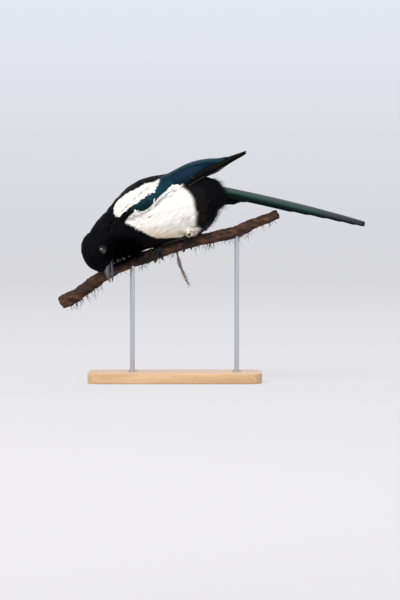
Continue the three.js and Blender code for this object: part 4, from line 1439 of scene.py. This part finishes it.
def bristles():
    """Nasal bristles: stiff dark hairs that lie forward over the base of the upper mandible."""
    rng = np.random.default_rng(SEED + 7)
    axis, up, left = bill_directions()
    low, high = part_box("beak_upper")
    middle = np.array((low + high) / 2) / MM
    tree = node_tree("beak_upper")
    parts = []
    for _ in range(BRISTLE_COUNT):
        turn = rng.uniform(-1.25, 1.25)
        out = up * math.cos(turn) + left * math.sin(turn)
        start = middle - axis * rng.uniform(7.0, 13.0) + out * 9
        spot, normal, _, _ = tree.find_nearest(start.tolist())
        spot, normal = np.array(spot), np.array(normal)
        reach = rng.uniform(6.5, 11.0)
        path = []
        for share in np.linspace(0, 1, 5):
            here = spot + axis * reach * share + left * math.sin(turn) * 0.4 * share
            near, face, _, _ = tree.find_nearest(here.tolist())
            lift = 0.35 + 0.5 * math.sin(math.pi * share) + rng.uniform(0, 0.3)
            path.append(np.array(near) + np.array(face) * lift)
        parts.append(strand(path, 0.24, 0.05, 4))
    points, faces = joined(parts)
    make_mesh("nasal_bristles", points, faces, bristle_material(), "plumage_black")


def make_feet():
    """Toes, claws and shanks, smoothed and scuted."""
    skin = scaled_leg_material()
    for name in ("foot_left", "foot_right", "shank_left", "shank_right"):
        points, faces = node_arrays([name], 0.08)
        piece = remeshed(f"scuted_{name}", points, faces, 0.5, 2, skin, "leg_skin")
        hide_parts(name)


# Perch and stand

def make_branch():
    """The branch with its bark relief, then what hangs from it."""
    points, faces = node_arrays(["perch_branch"])
    branch = remeshed("bark_branch", points, faces, 1.0, 5, bark_material(), "bark")
    co, normal = arrays_of(branch)
    lift = np.zeros(len(co))
    for i, p in enumerate(co):
        along = Vector((p[0] * 0.05, p[1] * 0.28, p[2] * 0.16))
        lift[i] = 1.5 * noise.fractal(along, 0.8, 2.2, 5) + 0.5 * noise.noise(Vector(p * 0.55))
    co = co + normal * np.clip(lift, -1.4, 1.3)[:, None]
    move_points(branch, co)
    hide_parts("perch_branch")
    rootlets(co, normal)


def rootlets(co, normal):
    """Thin forked rootlets in patches under the branch."""
    rng = np.random.default_rng(SEED + 9)
    parts = []
    for start, end, number, longest in ROOTLET_BEDS:
        for _ in range(number):
            x = rng.uniform(start, end)
            near = np.flatnonzero((np.abs(co[:, 0] - x) < 1.5) & (normal[:, 2] < -0.25))
            if len(near) == 0:
                continue
            i = rng.choice(near)
            reach = longest * rng.uniform(0.35, 1.0) ** 1.3 * sizes().rootlet_scale
            way = unit(normal[i] * np.array([0.4, 0.8, 0.7]) + np.array([rng.normal(0.15, 0.4), 0, -0.8]))
            bend = rng.normal(0, 0.45, 3) * np.array([1, 0.6, 0.6])
            path = [co[i] - normal[i] * 0.6 + way * reach * t + bend * reach * t ** 2
                    + np.array([0, 0, -0.1 * reach * t ** 2]) for t in np.linspace(0, 1, 7)]
            parts.append(strand(path, rng.uniform(0.3, 0.55), 0.08, 5))
            if rng.random() < 0.4:
                fork = path[3]
                side = unit(way + rng.normal(0, 0.7, 3))
                twig = [fork + side * reach * 0.4 * t for t in np.linspace(0, 1, 4)]
                parts.append(strand(twig, 0.25, 0.06, 4))
    points, faces = joined(parts)
    make_mesh("rootlets", points, faces, rootlet_material("dry black rootlet", "1a130f"), "bark")
    hanging_fibre(rng)


def hanging_fibre(rng):
    """The pale frayed strip of bark fibre that hangs under the rear foot."""
    parts = []
    for _ in range(FIBRE_STRANDS):
        shares = np.linspace(0, rng.uniform(0.5, 1.0), 12)
        path = smooth_rows(FIBRE_WAY, shares)
        wave = rng.normal(0, 1, (3,)) * 1.7
        twist = rng.uniform(0, 6)
        path = path + np.outer(np.sin(shares * 9 + twist) * (0.4 + shares), wave)
        parts.append(strand(path, 0.55, 0.14, 5))
    points, faces = joined(parts)
    make_mesh("hanging_fibre", points, faces, rootlet_material("pale root fibre", "6d6157"), "bark")


def lathe(rings, sides):
    """Points and faces of a turned or extruded shape from rings of outline points."""
    return np.concatenate(rings), tube_faces(len(rings), sides)


def make_stand():
    """The board with rounded corners and edges, and both rods with their collars."""
    low, high = (np.array(corner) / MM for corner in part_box("stand_base"))
    half = (high - low) / 2
    corner, bevel, arc = BASE_CORNER, BASE_BEVEL, 14
    outline = []
    for quarter, (sx, sy) in enumerate(((1, -1), (1, 1), (-1, 1), (-1, -1))):
        for k in range(arc + 1):
            turn = math.radians(-90 + quarter * 90 + 90 * k / arc)
            outline.append((sx * (half[0] - corner), sy * (half[1] - corner), math.cos(turn), math.sin(turn)))
    outline = np.array(outline)
    rings = []
    top = high[2]
    profile = [(corner - bevel, 0)]
    profile += [(corner - bevel + bevel * math.sin(a), bevel - bevel * math.cos(a))
                for a in np.linspace(0.3, math.pi / 2, 5)]
    profile += [(corner - bevel + bevel * math.cos(a), top - bevel + bevel * math.sin(a))
                for a in np.linspace(0, math.pi / 2, 6)]
    for reach, z in profile:
        rings.append(np.stack([outline[:, 0] + outline[:, 2] * reach, outline[:, 1] + outline[:, 3] * reach,
                               np.full(len(outline), z)], -1))
    points, faces = lathe(rings, len(outline))
    base = make_mesh("stand_board", points, faces, beech_material(), "stand_wood")
    sharpen_edges(base)
    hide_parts("stand_base")
    steel = steel_material()
    for name in ("stand_rod_front", "stand_rod_rear"):
        low, high = (np.array(c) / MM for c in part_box(name))
        centre = (low + high) / 2
        radius = (high[0] - low[0]) / 2
        sides = 40
        turn = np.arange(sides) / sides * 2 * math.pi
        steps = [(radius, low[2]), (radius, top), (radius + 2.6, top), (radius + 2.6, top + 1.6),
                 (radius + 1.9, top + 2.4), (radius, top + 2.8), (radius, high[2])]
        rings = [np.stack([centre[0] + r * np.cos(turn), centre[1] + r * np.sin(turn), np.full(sides, z)], -1)
                 for r, z in steps]
        points, faces = lathe(rings, sides)
        rod = make_mesh(name.replace("stand_", "stand_steel_"), points, faces, steel, "stand_steel")
        sharpen_edges(rod)
        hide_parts(name)


def sharpen_edges(piece):
    """Sharp shading where faces meet at a clear edge."""
    piece.data.set_sharp_from_angle(angle=math.radians(32))


# Stage

def make_stage():
    """A seamless dish all round the model, a pale sky, three soft lights and the camera."""
    sides = 96
    turn = np.arange(sides) / sides * 2 * math.pi
    profile = [(0.01, 0.0), (0.6, 0.0), (2.0, 0.0), (DISH_FLAT, 0.0)]
    profile += [(DISH_FLAT + DISH_CURVE * math.sin(a), DISH_CURVE * (1 - math.cos(a)))
                for a in np.linspace(0.1, math.pi / 2, 12)]
    profile += [(DISH_FLAT + DISH_CURVE, DISH_HEIGHT)]
    rings = [np.stack([r * np.cos(turn), r * np.sin(turn), np.full(sides, z)], -1) / MM for r, z in profile]
    points, faces = lathe(rings, sides)
    floor = make_mesh("backdrop", points, faces[:-1], backdrop_material())
    world = bpy.data.worlds.new("studio sky")
    world.use_nodes = True
    world.node_tree.nodes["Background"].inputs[0].default_value = (*linear("dfe6f2"), 1)
    world.node_tree.nodes["Background"].inputs[1].default_value = 0.55
    bpy.context.scene.world = world
    power = sizes().key_power
    add_light("key", (-1.4, -2.6, 3.0), 2.4, power * 0.41, "fff6ea")
    add_light("fill", (2.4, -2.0, 1.6), 2.6, power * 0.05, "eaf0ff")
    add_light("rim", (0.6, 2.4, 2.6), 2.0, power * 0.06, "f4f6ff")
    make_camera()
    bpy.context.scene.view_settings.view_transform = "Standard"
    bpy.context.scene.view_settings.exposure = 0.0


def add_light(name, place, size, power, code):
    """A soft square light that faces the model; place and size are in metres."""
    lamp = bpy.data.lights.new(name, "AREA")
    lamp.size = size
    lamp.energy = power
    lamp.color = linear(code)
    light = bpy.data.objects.new(name, lamp)
    light.location = place
    light.rotation_euler = (Vector((0, 0, 0.2)) - Vector(place)).to_track_quat("-Z", "Y").to_euler()
    bpy.context.scene.collection.objects.link(light)


def make_camera():
    """The camera at the photo's angle, with the photo's scale at the model."""
    lens = bpy.data.cameras.new("photo camera")
    lens.sensor_width = SENSOR
    lens.lens = SENSOR * CAMERA_DISTANCE / (PHOTO_HEIGHT_PIXELS * PIXEL)
    lens.clip_start = 0.1
    lens.clip_end = 60
    camera = bpy.data.objects.new("photo camera", lens)
    raise_angle = math.radians(CAMERA_RAISE_DEGREES)
    aim = Vector((PHOTO_AIM_X, 0, PHOTO_AIM_Z)) * MM
    camera.location = aim + Vector((0, -math.cos(raise_angle), math.sin(raise_angle))) * CAMERA_DISTANCE * MM
    camera.rotation_euler = (aim - camera.location).to_track_quat("-Z", "Y").to_euler()
    bpy.context.scene.collection.objects.link(camera)
    bpy.context.scene.camera = camera


# Operators and panel

class MAGPIE_OT_stage(bpy.types.Operator):
    """Make the floor, the lights and the camera"""
    bl_idname = "magpie.stage"
    bl_label = "Stage"

    def execute(self, context):
        make_stage()
        return {"FINISHED"}


class MAGPIE_OT_skin(bpy.types.Operator):
    """Join the flesh into one skin inside the outline"""
    bl_idname = "magpie.skin"
    bl_label = "Skin"

    def execute(self, context):
        if len(grow_skin().data.polygons) < 1000:
            raise RuntimeError("the skin didn't close round the body")
        return {"FINISHED"}


class MAGPIE_OT_coat(bpy.types.Operator):
    """Grow the contour feathers and down"""
    bl_idname = "magpie.coat"
    bl_label = "Coat"

    def execute(self, context):
        if "skin" not in bpy.data.objects or "wing_feathers_left" not in bpy.data.objects:
            raise RuntimeError("make the skin and the wings first")
        grow_coat()
        return {"FINISHED"}


class MAGPIE_OT_wings(bpy.types.Operator):
    """Lay the wing feathers, row by row"""
    bl_idname = "magpie.wings"
    bl_label = "Wings"

    def execute(self, context):
        for side in ("left", "right"):
            feather_wing(side)
        return {"FINISHED"}


class MAGPIE_OT_tail(bpy.types.Operator):
    """Lay the graduated tail feathers"""
    bl_idname = "magpie.tail"
    bl_label = "Tail"

    def execute(self, context):
        feather_tail()
        return {"FINISHED"}


class MAGPIE_OT_eyes(bpy.types.Operator):
    """Make the eyes and their lids"""
    bl_idname = "magpie.eyes"
    bl_label = "Eyes"

    def execute(self, context):
        make_eyes()
        return {"FINISHED"}


class MAGPIE_OT_bill(bpy.types.Operator):
    """Make the mandibles and the nasal bristles"""
    bl_idname = "magpie.bill"
    bl_label = "Bill"

    def execute(self, context):
        make_bill()
        return {"FINISHED"}


class MAGPIE_OT_feet(bpy.types.Operator):
    """Make the shanks, toes and claws"""
    bl_idname = "magpie.feet"
    bl_label = "Feet"

    def execute(self, context):
        make_feet()
        return {"FINISHED"}


class MAGPIE_OT_branch(bpy.types.Operator):
    """Make the bark, rootlets and hanging fibre"""
    bl_idname = "magpie.branch"
    bl_label = "Branch"

    def execute(self, context):
        make_branch()
        return {"FINISHED"}


class MAGPIE_OT_stand(bpy.types.Operator):
    """Make the board and the two rods"""
    bl_idname = "magpie.stand"
    bl_label = "Stand"

    def execute(self, context):
        make_stand()
        return {"FINISHED"}


STEPS = (MAGPIE_OT_stage, MAGPIE_OT_skin, MAGPIE_OT_eyes, MAGPIE_OT_bill, MAGPIE_OT_wings, MAGPIE_OT_coat,
         MAGPIE_OT_tail, MAGPIE_OT_feet, MAGPIE_OT_branch, MAGPIE_OT_stand)


class MAGPIE_PT_panel(bpy.types.Panel):
    """Lists the model's steps"""
    bl_idname = "MAGPIE_PT_panel"
    bl_label = "Magpie Model"
    bl_space_type = "VIEW_3D"
    bl_region_type = "UI"
    bl_category = "Magpie"

    def draw(self, context):
        for step in STEPS:
            self.layout.operator(step.bl_idname)
        for group in (context.scene.magpie_sizes, context.scene.magpie_colours):
            for name in group.bl_rna.properties.keys():
                if name not in ("rna_type", "name"):
                    self.layout.prop(group, name)


CLASSES = (MagpieColours, MagpieSizes, *STEPS, MAGPIE_PT_panel)


def register():
    """Adds the add-on's classes and settings to Blender."""
    for each in CLASSES:
        bpy.utils.register_class(each)
    bpy.types.Scene.magpie_colours = bpy.props.PointerProperty(type=MagpieColours)
    bpy.types.Scene.magpie_sizes = bpy.props.PointerProperty(type=MagpieSizes)


def unregister():
    """Takes them out again."""
    del bpy.types.Scene.magpie_sizes
    del bpy.types.Scene.magpie_colours
    for each in reversed(CLASSES):
        bpy.utils.unregister_class(each)


def main():
    register()
    bpy.ops.magpie.stage()
    bpy.ops.magpie.skin()
    bpy.ops.magpie.eyes()
    bpy.ops.magpie.bill()
    bpy.ops.magpie.wings()
    bpy.ops.magpie.coat()
    bpy.ops.magpie.tail()
    bpy.ops.magpie.feet()
    bpy.ops.magpie.branch()
    bpy.ops.magpie.stand()


if __name__ == "__main__":
    main()
